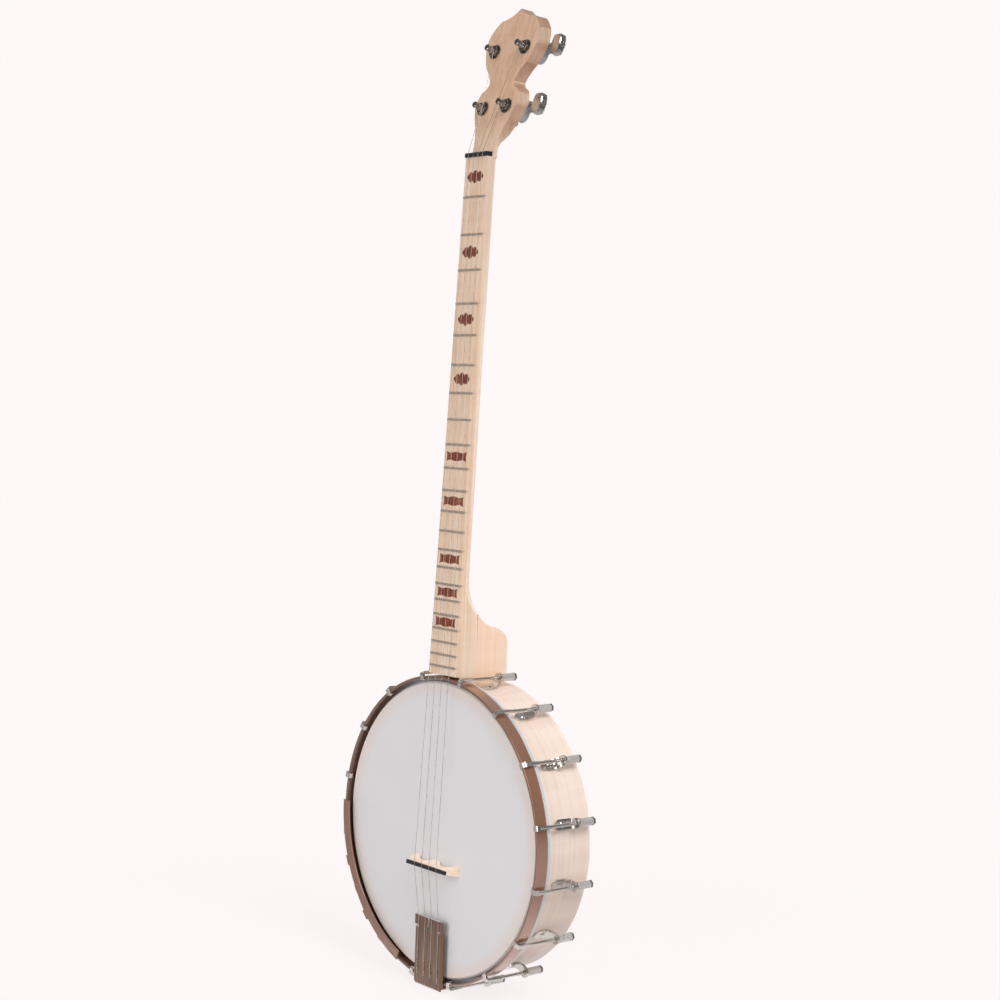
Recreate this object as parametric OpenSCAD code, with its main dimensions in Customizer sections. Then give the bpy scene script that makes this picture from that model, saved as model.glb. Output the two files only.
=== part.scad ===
// Four-string open-back banjo, upright, drum head facing -Y, neck along +Z.
// The origin is on the centre line of the fingerboard face, at the lower edge of the nut.
// String 1 is the one on the viewer's right, string 4 the one on the left.

/* [Neck] */
// String length from nut to bridge
scale_length = 666.75; // [655:0.25:670]
// Number of frets
fret_count = 22; // [19:1:22]
// Fretted face, from the nut to its lower end
board_length = 487.6; // [484:0.2:492]
// Width of the neck at the nut
nut_width = 31.2; // [30:0.1:33]
// Width of the neck at its lower end
end_width = 39.4; // [38:0.1:41]
// Height of the square edge of the fretted face
board_edge = 6; // [5:0.1:7]
// Depth of the neck at the nut
neck_depth_nut = 18.4; // [17:0.1:19]
// Depth of the neck above the heel
neck_depth_low = 18.2; // [17.5:0.1:19]
// Backward lean of the neck against the drum head, degrees
neck_lean = 2.17; // [1.5:0.01:3]
// Height of the fretted face in front of the drum head at its lower end
board_rise = 3.4; // [2:0.1:4]
// Width of a fret crown
fret_width = 2.5; // [2:0.1:3]
// Height of a fret crown
fret_height = 0.9; // [0.7:0.1:1.2]
// Thickness of the nut along the strings
nut_thick = 4.6; // [4:0.1:6]

/* [Peghead] */
// Backward tilt of the peghead against the fretted face, degrees
peg_tilt = 13.9; // [10:0.1:15]
// Thickness of the peghead
peg_thick = 14; // [13:0.5:15]
// Length of the peghead from the nut to its peak
peg_length = 151.5; // [150:0.5:156]
// Post distance from the centre line, lower pair
post_x_low = 17; // [16.5:0.1:18]
// Post distance from the centre line, upper pair
post_x_high = 21.8; // [21:0.1:23]
// Post height above the nut, lower pair
post_s_low = 50.5; // [49:0.1:53]
// Post height above the nut, upper pair
post_s_high = 109.3; // [107:0.1:112]

/* [Drum] */
// Outer radius of the wooden rim
rim_radius = 138.9; // [138.5:0.1:139]
// Wall of the wooden rim
rim_wall = 12.7; // [10:0.1:14]
// Depth of the rim behind the head
rim_depth = 67; // [66:0.5:68]
// Inner radius of the tension hoop
hoop_inner = 143; // [142.8:0.1:143.2]
// Wall of the tension hoop
hoop_wall = 2.6; // [2.4:0.1:2.8]
// Height of the tension hoop
hoop_height = 13.4; // [12.8:0.1:14]
// Height of the tension hoop in front of the head
hoop_proud = 4.2; // [4:0.1:4.4]
// Number of brackets
bracket_count = 16; // [14:2:18]
// Rod of a bracket hook
hook_rod = 3.2; // [3:0.1:3.8]
// Length of a bracket nut
bracket_nut_length = 19; // [16:0.5:20]

/* [Strings and bridge] */
// String diameter
string_d = 0.5; // [0.4:0.05:0.5]
// String spacing at the nut
nut_spacing = 7; // [6.6:0.1:7.4]
// String spacing at the bridge
bridge_spacing = 11; // [10:0.1:12]
// String spacing at the tailpiece
tail_spacing = 10; // [9:0.1:11]
// Bridge height above the head
bridge_height = 15; // [14:0.5:16]
// Bridge length at its feet
bridge_length = 67; // [64:0.5:70]
// Loops of string on a tuner post
winding_loops = 3.25; // [2.25:0.25:3.25]
// Rise of a winding per loop
winding_pitch = 1; // [0.95:0.01:1.2]

/* [Tailpiece and armrest] */
// Width of the tailpiece
tail_width = 42; // [40:0.5:44]
// Upper edge of the tailpiece below the middle of the head
tail_top = 84; // [80:0.5:88]
// Front of the tailpiece above the head
tail_front = 8; // [8:0.1:9]
// Width of the armrest strip
arm_width = 9.7; // [9:0.1:11]
// Upper end of the armrest, degrees anticlockwise from the top
arm_from = 88.5; // [86:0.5:95]
// Lower end of the armrest, degrees anticlockwise from the top
arm_to = 160; // [156:0.5:160]

/* [Tuners] */
// Length of a button along its shaft
button_length = 12.6; // [11:0.1:13]
// Width of a button across its shaft
button_width = 20; // [17:0.5:20]
// Thickness of a button
button_thick = 7.8; // [6:0.1:8]

/* [Hidden] */
ROOT_NODES = [
    "neck", "heel_block", "frets", "nut", "oval_inlays", "bowtie_inlays",
    "rim", "head_film", "flesh_hoop", "tension_hoop",
    "bracket_hooks", "bracket_nuts", "bracket_shoes", "shoe_bolts", "shoe_washers",
    "tailpiece", "tailpiece_bolt", "tailpiece_nut", "bridge_body", "bridge_top",
    "armrest", "armrest_clamps", "armrest_screws", "neck_bolts", "neck_washers",
    "tuner_housings", "tuner_covers", "tuner_bushings", "tuner_washers", "tuner_screws"
];
STRING_NODES = [
    "string", "tuner_post", "worm_wheel", "string_winding", "worm_shaft", "tuner_button", "button_screw"
];
$fn = 64;

// Finishes
maple = "#e2c8ae";
heel_maple = "#e8c6ae";
ink_brown = "#804f40";
bronze = "#8c6650";
nickel = "#b9b7b2";
black = "#222226";
head_white = "#dcdcde";
string_grey = "#a8a6a2";

// Drum placing: the fretted face ends just outside the tension hoop
hoop_outer = hoop_inner + hoop_wall;
end_gap = 1.8;
drum_z = -(hoop_outer + end_gap + board_length * cos(neck_lean));
drum_y = board_rise - board_length * sin(neck_lean);
rim_inner = rim_radius - rim_wall;
hoop_back = hoop_height - hoop_proud;
film = 0.5;
film_gap = 0.5;
flesh_inner = rim_radius + film_gap + film;
flesh_outer = 144.4;
flesh_back = hoop_back + 4.6;
behind_flesh = hoop_back + 7.2;

// Heel: where the glued block meets the flat back of the neck, in the drum's frame
glue_y = 22.3;
heel_top = 205.6;
heel_back = 65.1;
neck_bolt_y = [32, 50];
neck_bolt_r = 3;

// Brackets
hook_r = hook_rod / 2;
hook_radius = hoop_outer + hook_r + 1.4;
claw_thick = 2.4;
claw_width = 4.8;
notch_depth = claw_thick / 2;
tab_back = 43.4;
sheet = 1.8;
shoe_width = 9.6;
shoe_front = 22;
shoe_bend = 8.5;
shoe_bolt_y = 31;
shoe_bolt_r = 2;
nut_flats = 6.7;
washer_seat = 0.3;

// Tuners
post_r = 3;
post_waist = 2.6;
post_tip = 12.2;
bush_r = 4.5;
washer_thick = 1;
hex_thick = 3;
running = 0.05;
wheel_teeth = 14;
wheel_thick = 3.6;
wheel_root = 4.7;
wheel_tip = 6.25;
wheel_square = 3.6;
worm_pitch = 2.5;
worm_offset = 8.5;
worm_depth = peg_thick + 5.9;
worm_core = 1.9;
worm_tip = 3.5;
worm_half = 5.2;
worm_lead = atan(worm_pitch / (2 * PI * (worm_offset - wheel_teeth * worm_pitch / (2 * PI))));
journal_r = 1.7;
case_r = 7.6;
case_wall = 2;
case_top = 13.4;
case_floor = 1.6;
case_depth = 8.2;
tube_depth = 9.8;
tube_low = 3.4;
boss_end = 9.4;
cover_thick = 0.8;
button_from = 15.6;
lug_z = -11.4;

// Strings
string_r = string_d / 2;
nut_proud = 1.8;
nut_string_y = -1.5;
compensation = 2.7;
bridge_z = -drum_z - scale_length * cos(neck_lean) - compensation;
winding_level = -5;
winding_r = post_waist + string_r + 0.1;
tail_sheet = 1.6;

function side(k) = k <= 2 ? 1 : -1;
function is_high(k) = k == 2 || k == 3;
function post_x(k) = is_high(k) ? post_x_high : post_x_low;
function post_s(k) = is_high(k) ? post_s_high : post_s_low;
function across(k, spacing) = (2.5 - k) * spacing;
function fret_at(n) = scale_length * (1 - pow(2, -n / 12));
function half_width(z) = (nut_width - (end_width - nut_width) * z / board_length) / 2;

// Turns a point backwards about the X axis
function tip_back(v, a) = [v.x, v.y * cos(a) + v.z * sin(a), v.z * cos(a) - v.y * sin(a)];
function neck_pt(v) = tip_back(v, neck_lean);
function peg_pt(v) = [0, board_edge, 0] + tip_back(v, peg_tilt);
function to_peg(v) = tip_back(v - [0, board_edge, 0], -peg_tilt);
function drum_pt(v) = v + [0, drum_y, drum_z];
function unit(v) = v / norm(v);

// Points from p towards q on a curve that stands out by sag to the right of the line; q is left out
function bow(p, q, sag, steps = 8) = let (d = q - p, right = [d.y, -d.x] / norm(d))
    [for (i = [0:steps - 1]) let (t = i / steps) p + d * t + right * 4 * sag * t * (1 - t)];
function round_corner(c, r, from, to, steps = 6) =
    [for (i = [0:steps]) let (a = from + (to - from) * i / steps) c + r * [cos(a), sin(a)]];

module on_neck() { rotate([-neck_lean, 0, 0]) children(); }
module on_peghead() { on_neck() translate([0, board_edge, 0]) rotate([-peg_tilt, 0, 0]) children(); }
module on_drum() { translate([0, drum_y, drum_z]) children(); }
// A flat shape drawn in x and z, given a thickness along y
module facing(y0, y1) { translate([0, y1, 0]) rotate([90, 0, 0]) linear_extrude(y1 - y0) children(); }
// A flat shape drawn in y and z, given a width along x
module sideways(x0, x1) { translate([x0, 0, 0]) rotate([90, 0, 90]) linear_extrude(x1 - x0) children(); }
// A profile drawn in radius and y, turned about the y axis
module turned() { rotate([-90, 0, 0]) rotate_extrude($fn = 180) children(); }
module rod_y(r, y0, y1) { translate([0, y0, 0]) rotate([-90, 0, 0]) cylinder(r = r, h = y1 - y0); }
module rod_x(r, x0, x1) { translate([x0, 0, 0]) rotate([0, 90, 0]) cylinder(r = r, h = x1 - x0); }
module rod_z(r, z0, z1) { translate([0, 0, z0]) cylinder(r = r, h = z1 - z0); }
// A bracket's place: x runs along the hoop, y to the back, z outwards
module at_brackets() {
    step = 360 / bracket_count;
    for (i = [0:bracket_count - 1]) rotate([0, (i + 0.5) * step, 0]) children();
}
// A tuner's place: x outwards from the post, y to the back, z up the peghead
module at_tuner(k) {
    on_peghead() translate([side(k) * post_x(k), 0, post_s(k)])
        if (side(k) > 0) children(); else mirror([1, 0, 0]) children();
}

// A closed skin over rings of points, from the first ring to the last
module skin(rings) {
    count = len(rings[0]);
    last = len(rings) - 1;
    walls = [for (i = [0:last - 1], j = [0:count - 1]) let (k = (j + 1) % count)
        each [[i * count + j, i * count + k, (i + 1) * count + k],
              [i * count + j, (i + 1) * count + k, (i + 1) * count + j]]];
    caps = [[for (j = [count - 1:-1:0]) j], [for (j = [0:count - 1]) last * count + j]];
    polyhedron(points = [for (ring = rings) each ring], faces = concat(walls, caps));
}
// Rings of a round tube along a path; axis is a direction that the path never follows
function tube(path, r, axis, sides = 6) = let (last = len(path) - 1)
    [for (i = [0:last]) let (
        before = unit(path[max(i, 1)] - path[max(i, 1) - 1]),
        after = unit(path[min(i + 1, last)] - path[min(i + 1, last) - 1]),
        along = unit(before + after),
        stretch = 1 / max(0.5, along * after),
        u = unit(cross(along, axis)),
        v = cross(along, u))
        [for (j = [0:sides - 1]) let (a = 360 * j / sides) path[i] + r * (stretch * cos(a) * u + sin(a) * v)]];

// Neck and its wood

// The peghead is sawn square to the fretted face, so its walls run along the neck's own y axis
neck_root = [16.3, 10];
flare = [24.4, 36.4];
flare_sag = -1.5;
flare_steps = 6;
function reversed(points, sx, sy) = [for (i = [len(points) - 1:-1:0]) [sx * points[i].x, sy * points[i].y]];
function ease(u) = let (v = min(1, max(0, u))) v * v * (3 - 2 * v);
function peg_face(z) = board_edge + z * tan(peg_tilt);
function peg_back(z) = peg_face(z) + peg_thick / cos(peg_tilt);
function rounded_back(half, y0, y1, z, square) = [for (i = [0:16]) let (t = 180 * i / 16, e = 2 / square)
    [half * sign(cos(t)) * pow(abs(cos(t)), e), y0 + (y1 - y0) * pow(sin(t), e), z]];
function neck_ring(z, depth, square) = rounded_back(half_width(z) - 0.02, board_edge - 0.5, depth, z, square);
function peg_ring(p, t) = let (z = p.y * cos(peg_tilt))
    rounded_back(p.x - 0.02, peg_face(z) + 0.02,
        neck_depth_nut + (peg_back(z) - 0.02 - neck_depth_nut) * ease((t + 0.09) / 0.6),
        z, 2.1 + 18 * pow(t, 2.4));

module neck_shaft() {
    curve = concat(bow(neck_root, flare, flare_sag, flare_steps), [flare, flare + [0, 3]]);
    skin(concat(
        [for (i = [flare_steps + 1:-1:0]) peg_ring(curve[i], min(1, i / flare_steps))],
        [for (row = [
            [-2, 0.1, 1.9], [-30, 0, 1.9], [-200, -0.4, 1.9], [-380, 0, 1.9], [-396, 0.4, 1.9],
            [-404, 0.8, 2.05], [-411, 1.4, 2.6], [-417, 2.4, 3.6], [-422.5, 4.4, 6], [-428.5, 6.2, 12],
            [-board_length - 12, 12, 14]
        ]) neck_ring(row[0], (row[0] > -30 ? neck_depth_nut : neck_depth_low) + row[1], row[2])]));
}

module fretted_slab() {
    lower = half_width(-board_length);
    upper = half_width(0);
    facing(0, board_edge)
        polygon([[-lower, -board_length], [lower, -board_length], [upper, 0], [-upper, 0]]);
}

module peghead_outline() {
    lobe_low = [29.6, 50.4];
    lobe_high = [28.6, 62];
    ledge = [24.7, 68.4];
    waist = [17.5, 76];
    hip = [29.2, 93.4];
    side_low = [35.2, 107];
    side_high = [35.2, 128.4];
    shoulder = [24, 141];
    peak = [0, peg_length];
    face = concat(bow(flare, lobe_low, 0.3, 4), bow(lobe_low, lobe_high, 0.9, 6), bow(lobe_high, ledge, 0.5, 3),
        bow(ledge, waist, -1.5, 6), bow(waist, hip, -1.2),
        bow(hip, side_low, 0.5, 5), bow(side_low, side_high, 2.2), bow(side_high, shoulder, 0.7, 5),
        bow(shoulder, peak, -2.2));
    right = [for (p = face) [p.x, p.y * cos(peg_tilt)]];
    polygon(concat(right, [[0, peak.y * cos(peg_tilt)]], reversed(right, -1, 1)));
}
module peghead_block() {
    intersection() {
        on_peghead() translate([-60, 0, flare.y - 10]) cube([120, peg_thick, peg_length]);
        on_neck() facing(0, 90) peghead_outline();
    }
}

module oval_inlay_shape() {
    square([13, 5], center = true);
    for (sy = [-1, 1]) translate([0, 2.6 * sy]) circle(r = 3.5);
    for (sx = [-1, 1]) {
        for (sy = [-1, 1]) translate([6.3 * sx, 1.6 * sy]) circle(r = 3.2);
        translate([9.5 * sx, 0]) circle(r = 2.2);
    }
}
module bowtie_inlay_shape() {
    middle = [0, 4.4];
    dip = [6.8, 3.4];
    end = [14.8, 4.7];
    upper = concat(bow(middle, dip, -0.25, 4), bow(dip, end, 0.45, 5));
    right = concat(upper, bow(end, [end.x, -end.y], 0.8, 6), [[end.x, -end.y]], reversed(upper, 1, -1));
    polygon(concat(right, [for (i = [len(right) - 2:-1:1]) [-right[i].x, right[i].y]]));
}
inlay_depth = 1;
oval_frets = [1, 3, 5, 7];
bowtie_frets = [10, 12, 15, 17, 19];
function inlay_z(n) = -(fret_at(n) + fret_at(n - 1)) / 2;

module oval_inlays() {
    color(ink_brown) on_neck() for (n = oval_frets) translate([0, 0, inlay_z(n)])
        facing(0, inlay_depth) oval_inlay_shape();
}
module bowtie_inlays() {
    color(ink_brown) on_neck() for (n = bowtie_frets) translate([0, 0, inlay_z(n)])
        facing(0, inlay_depth) bowtie_inlay_shape();
}

fret_tang = [0.6, 2.6];
module fret_slots() {
    for (n = [1:fret_count]) translate([-end_width, -1, -fret_at(n) - fret_tang.x / 2])
        cube([2 * end_width, fret_tang.y + 1, fret_tang.x]);
}
module frets() {
    crown_r = (pow(fret_width / 2, 2) + pow(fret_height, 2)) / (2 * fret_height);
    color(nickel) on_neck() for (n = [1:fret_count]) let (half = half_width(-fret_at(n)) - 0.1)
        translate([0, 0, -fret_at(n)]) {
            intersection() {
                sideways(-half, half) intersection() {
                    translate([crown_r - fret_height, 0]) circle(r = crown_r);
                    translate([-fret_height - 1, -fret_width]) square([fret_height + 1, 2 * fret_width]);
                }
                translate([0, 0, -fret_width]) linear_extrude(2 * fret_width) polygon([
                    [-half, 0], [half, 0],
                    [half - fret_height, -fret_height - 0.1], [fret_height - half, -fret_height - 0.1]]);
            }
            sideways(-half, half) translate([0, -fret_tang.x / 2]) square([fret_tang.y, fret_tang.x]);
        }
}

module neck() {
    color(maple) difference() {
        union() {
            on_neck() fretted_slab();
            on_neck() neck_shaft();
            on_neck() translate([0.02 - half_width(0), board_edge - 0.1, -1])
                cube([2 * half_width(0) - 0.04, 6, nut_thick + 1]);
            peghead_block();
        }
        on_neck() fret_slots();
        on_neck() for (n = oval_frets) translate([0, 0, inlay_z(n)])
            facing(-1, inlay_depth) oval_inlay_shape();
        on_neck() for (n = bowtie_frets) translate([0, 0, inlay_z(n)])
            facing(-1, inlay_depth) bowtie_inlay_shape();
        on_neck() translate([-nut_width, -9, 0]) cube([2 * nut_width, 9 + board_edge, nut_thick]);
        for (k = [1:4]) at_tuner(k) {
            rod_y(bush_r, -1, peg_thick + 1);
            translate([0, 0, lug_z]) rod_y(1.1, 7, peg_thick + 1);
        }
        on_drum() {
            rod_y(hoop_outer + end_gap, -40, behind_flesh, $fn = 180);
            rod_y(rim_radius + 0.05, -40, rim_depth + 10, $fn = 180);
            translate([-50, glue_y, 0]) cube([100, 60, heel_top + 1]);
        }
    }
}

module heel_block() {
    tip = [glue_y, heel_top];
    swell = [42, 192.6];
    shoulder = [heel_back, 170];
    side_half = 19.3;
    back_half = 16;
    corner = 4;
    color(heel_maple) on_drum() difference() {
        intersection() {
            sideways(-30, 30) polygon(concat([[glue_y, 120]],
                bow(tip, swell, 2), bow(swell, shoulder, -6.3, 10), [shoulder, [heel_back, 120]]));
            linear_extrude(300) polygon(concat(
                [[-side_half, glue_y], [side_half, glue_y]],
                round_corner([back_half - corner + 0.2, heel_back - corner], corner, 0, 90),
                round_corner([corner - back_half - 0.2, heel_back - corner], corner, 90, 180)));
        }
        rod_y(rim_radius + 0.05, -40, rim_depth + 10, $fn = 180);
        for (y = neck_bolt_y) translate([0, y, 0]) rod_z(neck_bolt_r + 0.02, 100, rim_radius + 26);
    }
}

module nut() {
    half = nut_width / 2;
    color(black) on_neck() difference() {
        sideways(-half, half) polygon(concat([[board_edge, nut_thick], [board_edge, 0]],
            bow([0.6 - nut_proud, 0], [0.6 - nut_proud, nut_thick], -0.6)));
        for (k = [1:4]) translate([across(k, nut_spacing) - 0.3, -9, -1])
            cube([0.6, 9 + nut_string_y + 0.3, nut_thick + 2]);
    }
}

// Drum

module rim() {
    color(maple) on_drum() difference() {
        turned() polygon(concat(
            [[rim_inner, rim_depth - 1], [rim_inner, 4.5]],
            bow([rim_radius - 3.4, film], [rim_radius, 4], 0.9),
            [[rim_radius, 4], [rim_radius, rim_depth - 1],
             [rim_radius - 1, rim_depth], [rim_inner + 1, rim_depth]]));
        at_brackets() translate([0, shoe_bolt_y, 0]) rod_z(shoe_bolt_r + running, 100, 150);
        for (y = neck_bolt_y) translate([0, y, 0]) rod_z(neck_bolt_r + running, 100, 150);
        rotate([0, 180, 0]) translate([0, tail_bolt_y, 0]) rod_z(tail_bolt_r + running, 100, 150);
    }
}
module head_film() {
    bend = 1.7;
    outer = rim_radius + film_gap + film;
    inner = outer - film;
    color(head_white) on_drum() turned() polygon([
        [0, 0], [outer - bend, 0], [outer, bend], [outer, flesh_back - 0.5],
        [inner, flesh_back - 0.5], [inner, bend + 0.2], [inner - bend + 0.2, film], [0, film]]);
}
// Outline of a ring's section with small rounded corners
module soft_section(r0, r1, y0, y1, round) {
    polygon(concat(
        round_corner([r1 - round, y0 + round], round, -90, 0, 3),
        round_corner([r1 - round, y1 - round], round, 0, 90, 3),
        round_corner([r0 + round, y1 - round], round, 90, 180, 3),
        round_corner([r0 + round, y0 + round], round, 180, 270, 3)));
}
module flesh_hoop() {
    color(head_white) on_drum() turned() soft_section(flesh_inner, flesh_outer, hoop_back, flesh_back, 1);
}
module tension_hoop() {
    width = claw_width + 0.4;
    color(bronze) on_drum() difference() {
        turned() soft_section(hoop_inner, hoop_outer, -hoop_proud, hoop_back, 0.7);
        at_brackets() translate([-width / 2, -hoop_proud - 1, 120]) cube([width, 1 + notch_depth, 40]);
    }
}
module bracket_hooks() {
    bend = hook_r + 0.6;
    claw_y = -hoop_proud;
    tip_z = hoop_inner - 1.8;
    tip_y = -1;
    strap_end = 14;
    front = claw_y - claw_thick / 2;
    back = claw_y + claw_thick / 2;
    color(nickel) on_drum() at_brackets() {
        translate([0, 0, hook_radius]) rod_y(hook_r, claw_y + bend, 57);
        translate([0, claw_y + bend, hook_radius - bend]) rotate([90, 0, 90]) rotate([0, 0, 90])
            rotate_extrude(angle = 90) translate([bend, 0]) square([claw_thick, claw_width], center = true);
        translate([0, 0, hook_radius - claw_thick / 2]) linear_extrude(claw_thick) polygon([
            [-claw_width / 2, claw_y + bend], [claw_width / 2, claw_y + bend],
            [0.7 * hook_r, strap_end], [-0.7 * hook_r, strap_end]]);
        sideways(-claw_width / 2, claw_width / 2) polygon(concat(
            [[back, hook_radius - bend + 1], [back, hoop_inner - 0.3],
             [tip_y, hoop_inner - 0.3], [tip_y, tip_z + 0.4]],
            bow([tip_y - 0.4, tip_z], [front, tip_z + 1.6], -0.4, 5), [[front, hook_radius - bend + 1]]));
    }
}
module bracket_nuts() {
    start = tab_back;
    collar = 2.2;
    groove = 1;
    color(nickel) on_drum() at_brackets() translate([0, 0, hook_radius]) difference() {
        union() {
            rod_y(3.9, start, start + collar);
            rod_y(3, start + collar, start + collar + groove);
            translate([0, start + collar + groove, 0]) rotate([-90, 0, 0])
                cylinder(d = nut_flats / cos(30), h = bracket_nut_length - collar - groove, $fn = 6);
        }
        rod_y(hook_r + running, start - 1, start + bracket_nut_length + 1);
    }
}
module bracket_shoes() {
    low = rim_radius + 0.05;
    high = low + sheet;
    centre = [tab_back - sheet - shoe_bend + sheet / 2, low + sheet / 2 + shoe_bend];
    tab_low = min(centre.y, hook_radius);
    color(nickel) on_drum() at_brackets() difference() {
        union() {
            intersection() {
                sideways(-shoe_width / 2, shoe_width / 2) polygon(concat(
                    [[shoe_front, low]], round_corner(centre, shoe_bend + sheet / 2, -90, 0, 9),
                    round_corner(centre, shoe_bend - sheet / 2, 0, -90, 9), [[shoe_front, high]]));
                linear_extrude(200) polygon(concat(
                    bow([0, shoe_front], [shoe_width / 2, shoe_front + 8], 1.8),
                    [[shoe_width / 2, shoe_front + 8],
                     [shoe_width / 2, tab_back], [-shoe_width / 2, tab_back]],
                    bow([-shoe_width / 2, shoe_front + 8], [0, shoe_front], 1.8)));
            }
            facing(tab_back - sheet, tab_back) polygon(concat(
                [[-shoe_width / 2, tab_low], [shoe_width / 2, tab_low]],
                round_corner([0, hook_radius], shoe_width / 2, 0, 180, 12)));
        }
        translate([0, 0, hook_radius]) rod_y(hook_r + 0.3, tab_back - 5, tab_back + 1);
        translate([0, shoe_bolt_y, 0]) rod_z(shoe_bolt_r, 130, high + 1);
    }
}
// A hexagon-headed bolt pointing outwards through the rim, its head inside
module rim_bolt(r, y, end, flats, head) {
    seat = rim_inner - washer_seat - washer_thick;
    translate([0, y, 0]) {
        rod_z(r, seat - head / 2, end);
        translate([0, 0, seat - head]) cylinder(d = flats / cos(30), h = head, $fn = 6);
    }
}
module rim_washer(r, y, outer) {
    seat = rim_inner - washer_seat - washer_thick;
    translate([0, y, seat]) difference() {
        cylinder(r = outer, h = washer_thick);
        translate([0, 0, -1]) cylinder(r = r + running, h = washer_thick + 2);
    }
}
module shoe_bolts() {
    end = rim_radius + sheet + 0.06;
    dome = 3.1;
    color(nickel) on_drum() at_brackets() {
        rim_bolt(shoe_bolt_r, shoe_bolt_y, end, 7, 2.8);
        translate([0, shoe_bolt_y, end]) rotate_extrude() polygon(concat([[0, 0]], bow([dome, 0], [0, 1.2], 0.4)));
    }
}
module shoe_washers() {
    color(nickel) on_drum() at_brackets() rim_washer(shoe_bolt_r, shoe_bolt_y, 5);
}
module neck_bolts() {
    color(nickel) on_drum() for (y = neck_bolt_y) rim_bolt(neck_bolt_r, y, rim_radius + 25, 11, 4.5);
}
module neck_washers() {
    color(nickel) on_drum() for (y = neck_bolt_y) rim_washer(neck_bolt_r, y, 8);
}

// Tailpiece, bridge and armrest

tail_bolt_y = 28;
tail_bolt_r = 2.5;
tail_roll = 2.5;
tail_wall = hoop_outer + 3.4;
module tail_plate_shape() {
    half = tail_width / 2;
    flat = half - tail_roll;
    notch_top = tail_top + 9;
    notch_low = notch_top + 2.6;
    bottom = tail_wall - 1.4;
    difference() {
        polygon([[-half, -tail_top], [-half, -notch_top], [6 - half, -notch_top - 0.6], [6 - half, -notch_low],
            [-flat, -notch_low], [-flat, -bottom], [flat, -bottom], [flat, -notch_low],
            [half - 6, -notch_low], [half - 6, -notch_top - 0.6], [half, -notch_top], [half, -tail_top]]);
        translate([-0.8, -tail_top - 10]) square([1.6, 12]);
        translate([0, -tail_top - 12]) polygon(concat(bow([5, 0], [-5, 0], 3.2), bow([-5, 0], [5, 0], -0.8)));
        for (k = [1:4]) translate([across(k, tail_spacing) - 0.7, -bottom + 4]) square([1.4, 10]);
    }
}
module tailpiece() {
    half = tail_width / 2;
    top = -tail_front;
    bend_out = 3;
    bend_in = bend_out - tail_sheet;
    bottom = tail_wall - bend_in;
    lip_y = -hoop_proud - 0.6;
    foot_in = rim_radius + 0.1;
    foot_out = foot_in + tail_sheet;
    roll_from = tail_top + 11.6;
    bend_half = half - tail_roll;
    wrap_half = 14;
    elbow = [behind_flesh, behind_flesh + 6];
    color(bronze) on_drum() difference() {
        union() {
            facing(top, top + tail_sheet) tail_plate_shape();
            for (s = [0, 1]) mirror([s, 0, 0]) translate([0, 0, -bottom]) linear_extrude(bottom - roll_from)
                polygon(concat(
                    round_corner([bend_half, top + tail_roll], tail_roll, -90, 0),
                    [[half, lip_y], [half - tail_sheet, lip_y]],
                    round_corner([bend_half, top + tail_roll], tail_roll - tail_sheet, 0, -90)));
            sideways(-bend_half, bend_half) polygon(concat(
                round_corner([top + bend_out, -bottom], bend_out, 180, 270),
                round_corner([top + bend_out, -bottom], bend_in, 270, 180)));
            sideways(-wrap_half, wrap_half) polygon([
                [top + bend_out, -tail_wall - tail_sheet], [elbow[0] + 0.6, -tail_wall - tail_sheet],
                [elbow[1] + 0.6, -foot_out], [tail_bolt_y + 7, -foot_out], [tail_bolt_y + 7, -foot_in],
                [elbow[1], -foot_in], [elbow[0], -tail_wall], [top + bend_out, -tail_wall]]);
        }
        translate([0, tail_bolt_y, 0]) rod_z(tail_bolt_r + 0.02, -160, -100);
        rod_y(rim_radius + 0.06, 0, rim_depth);
    }
}
module tailpiece_bolt() {
    head = 3;
    foot_out = rim_radius + 0.1 + tail_sheet;
    color(nickel) on_drum() rotate([0, 180, 0]) translate([0, tail_bolt_y, 0]) {
        rod_z(tail_bolt_r, rim_inner - 7, foot_out + 1);
        translate([0, 0, foot_out]) cylinder(d = 8 / cos(30), h = head, $fn = 6);
    }
}
module tailpiece_nut() {
    seat = rim_inner - washer_seat;
    color(nickel) on_drum() rotate([0, 180, 0]) translate([0, tail_bolt_y, seat - 4]) difference() {
        cylinder(d = 8 / cos(30), h = 4, $fn = 6);
        translate([0, 0, -1]) cylinder(r = tail_bolt_r + running, h = 6);
    }
}

cap_height = 2.4;
cap_half = 29.1;
module bridge_body() {
    foot = bridge_length / 2;
    rise = bridge_height - cap_height;
    arch_out = foot - 7;
    arch_in = 4.5;
    arch_rise = 6.6;
    wedge_low = 4.6;
    wedge_high = 1.7;
    color(maple) on_drum() translate([0, 0, bridge_z]) intersection() {
        translate([0, 0, -10]) linear_extrude(20) polygon(concat(
            [[-foot, 0]], bow([-arch_out, 0], [-arch_in, 0], arch_rise),
            [[-arch_in, 0]], bow([arch_in, 0], [arch_out, 0], arch_rise), [[arch_out, 0], [foot, 0]],
            bow([foot, -2.4], [cap_half, -rise], -1), [[cap_half, -rise], [-cap_half, -rise]],
            bow([-cap_half, -rise], [-foot, -2.4], -1)));
        sideways(-foot - 1, foot + 1)
            polygon([[0, -wedge_low], [0, wedge_low], [-rise, wedge_high], [-rise, -wedge_high]]);
    }
}
module bridge_top() {
    half = 1.7;
    color(black) on_drum() translate([0, 0, bridge_z]) difference() {
        translate([-cap_half, -bridge_height, -half]) cube([2 * cap_half, cap_height, 2 * half]);
        for (k = [1:4]) translate([across(k, bridge_spacing) - 0.35, -bridge_height - 1, -5])
            cube([0.7, 1.5, 10]);
    }
}

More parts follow.
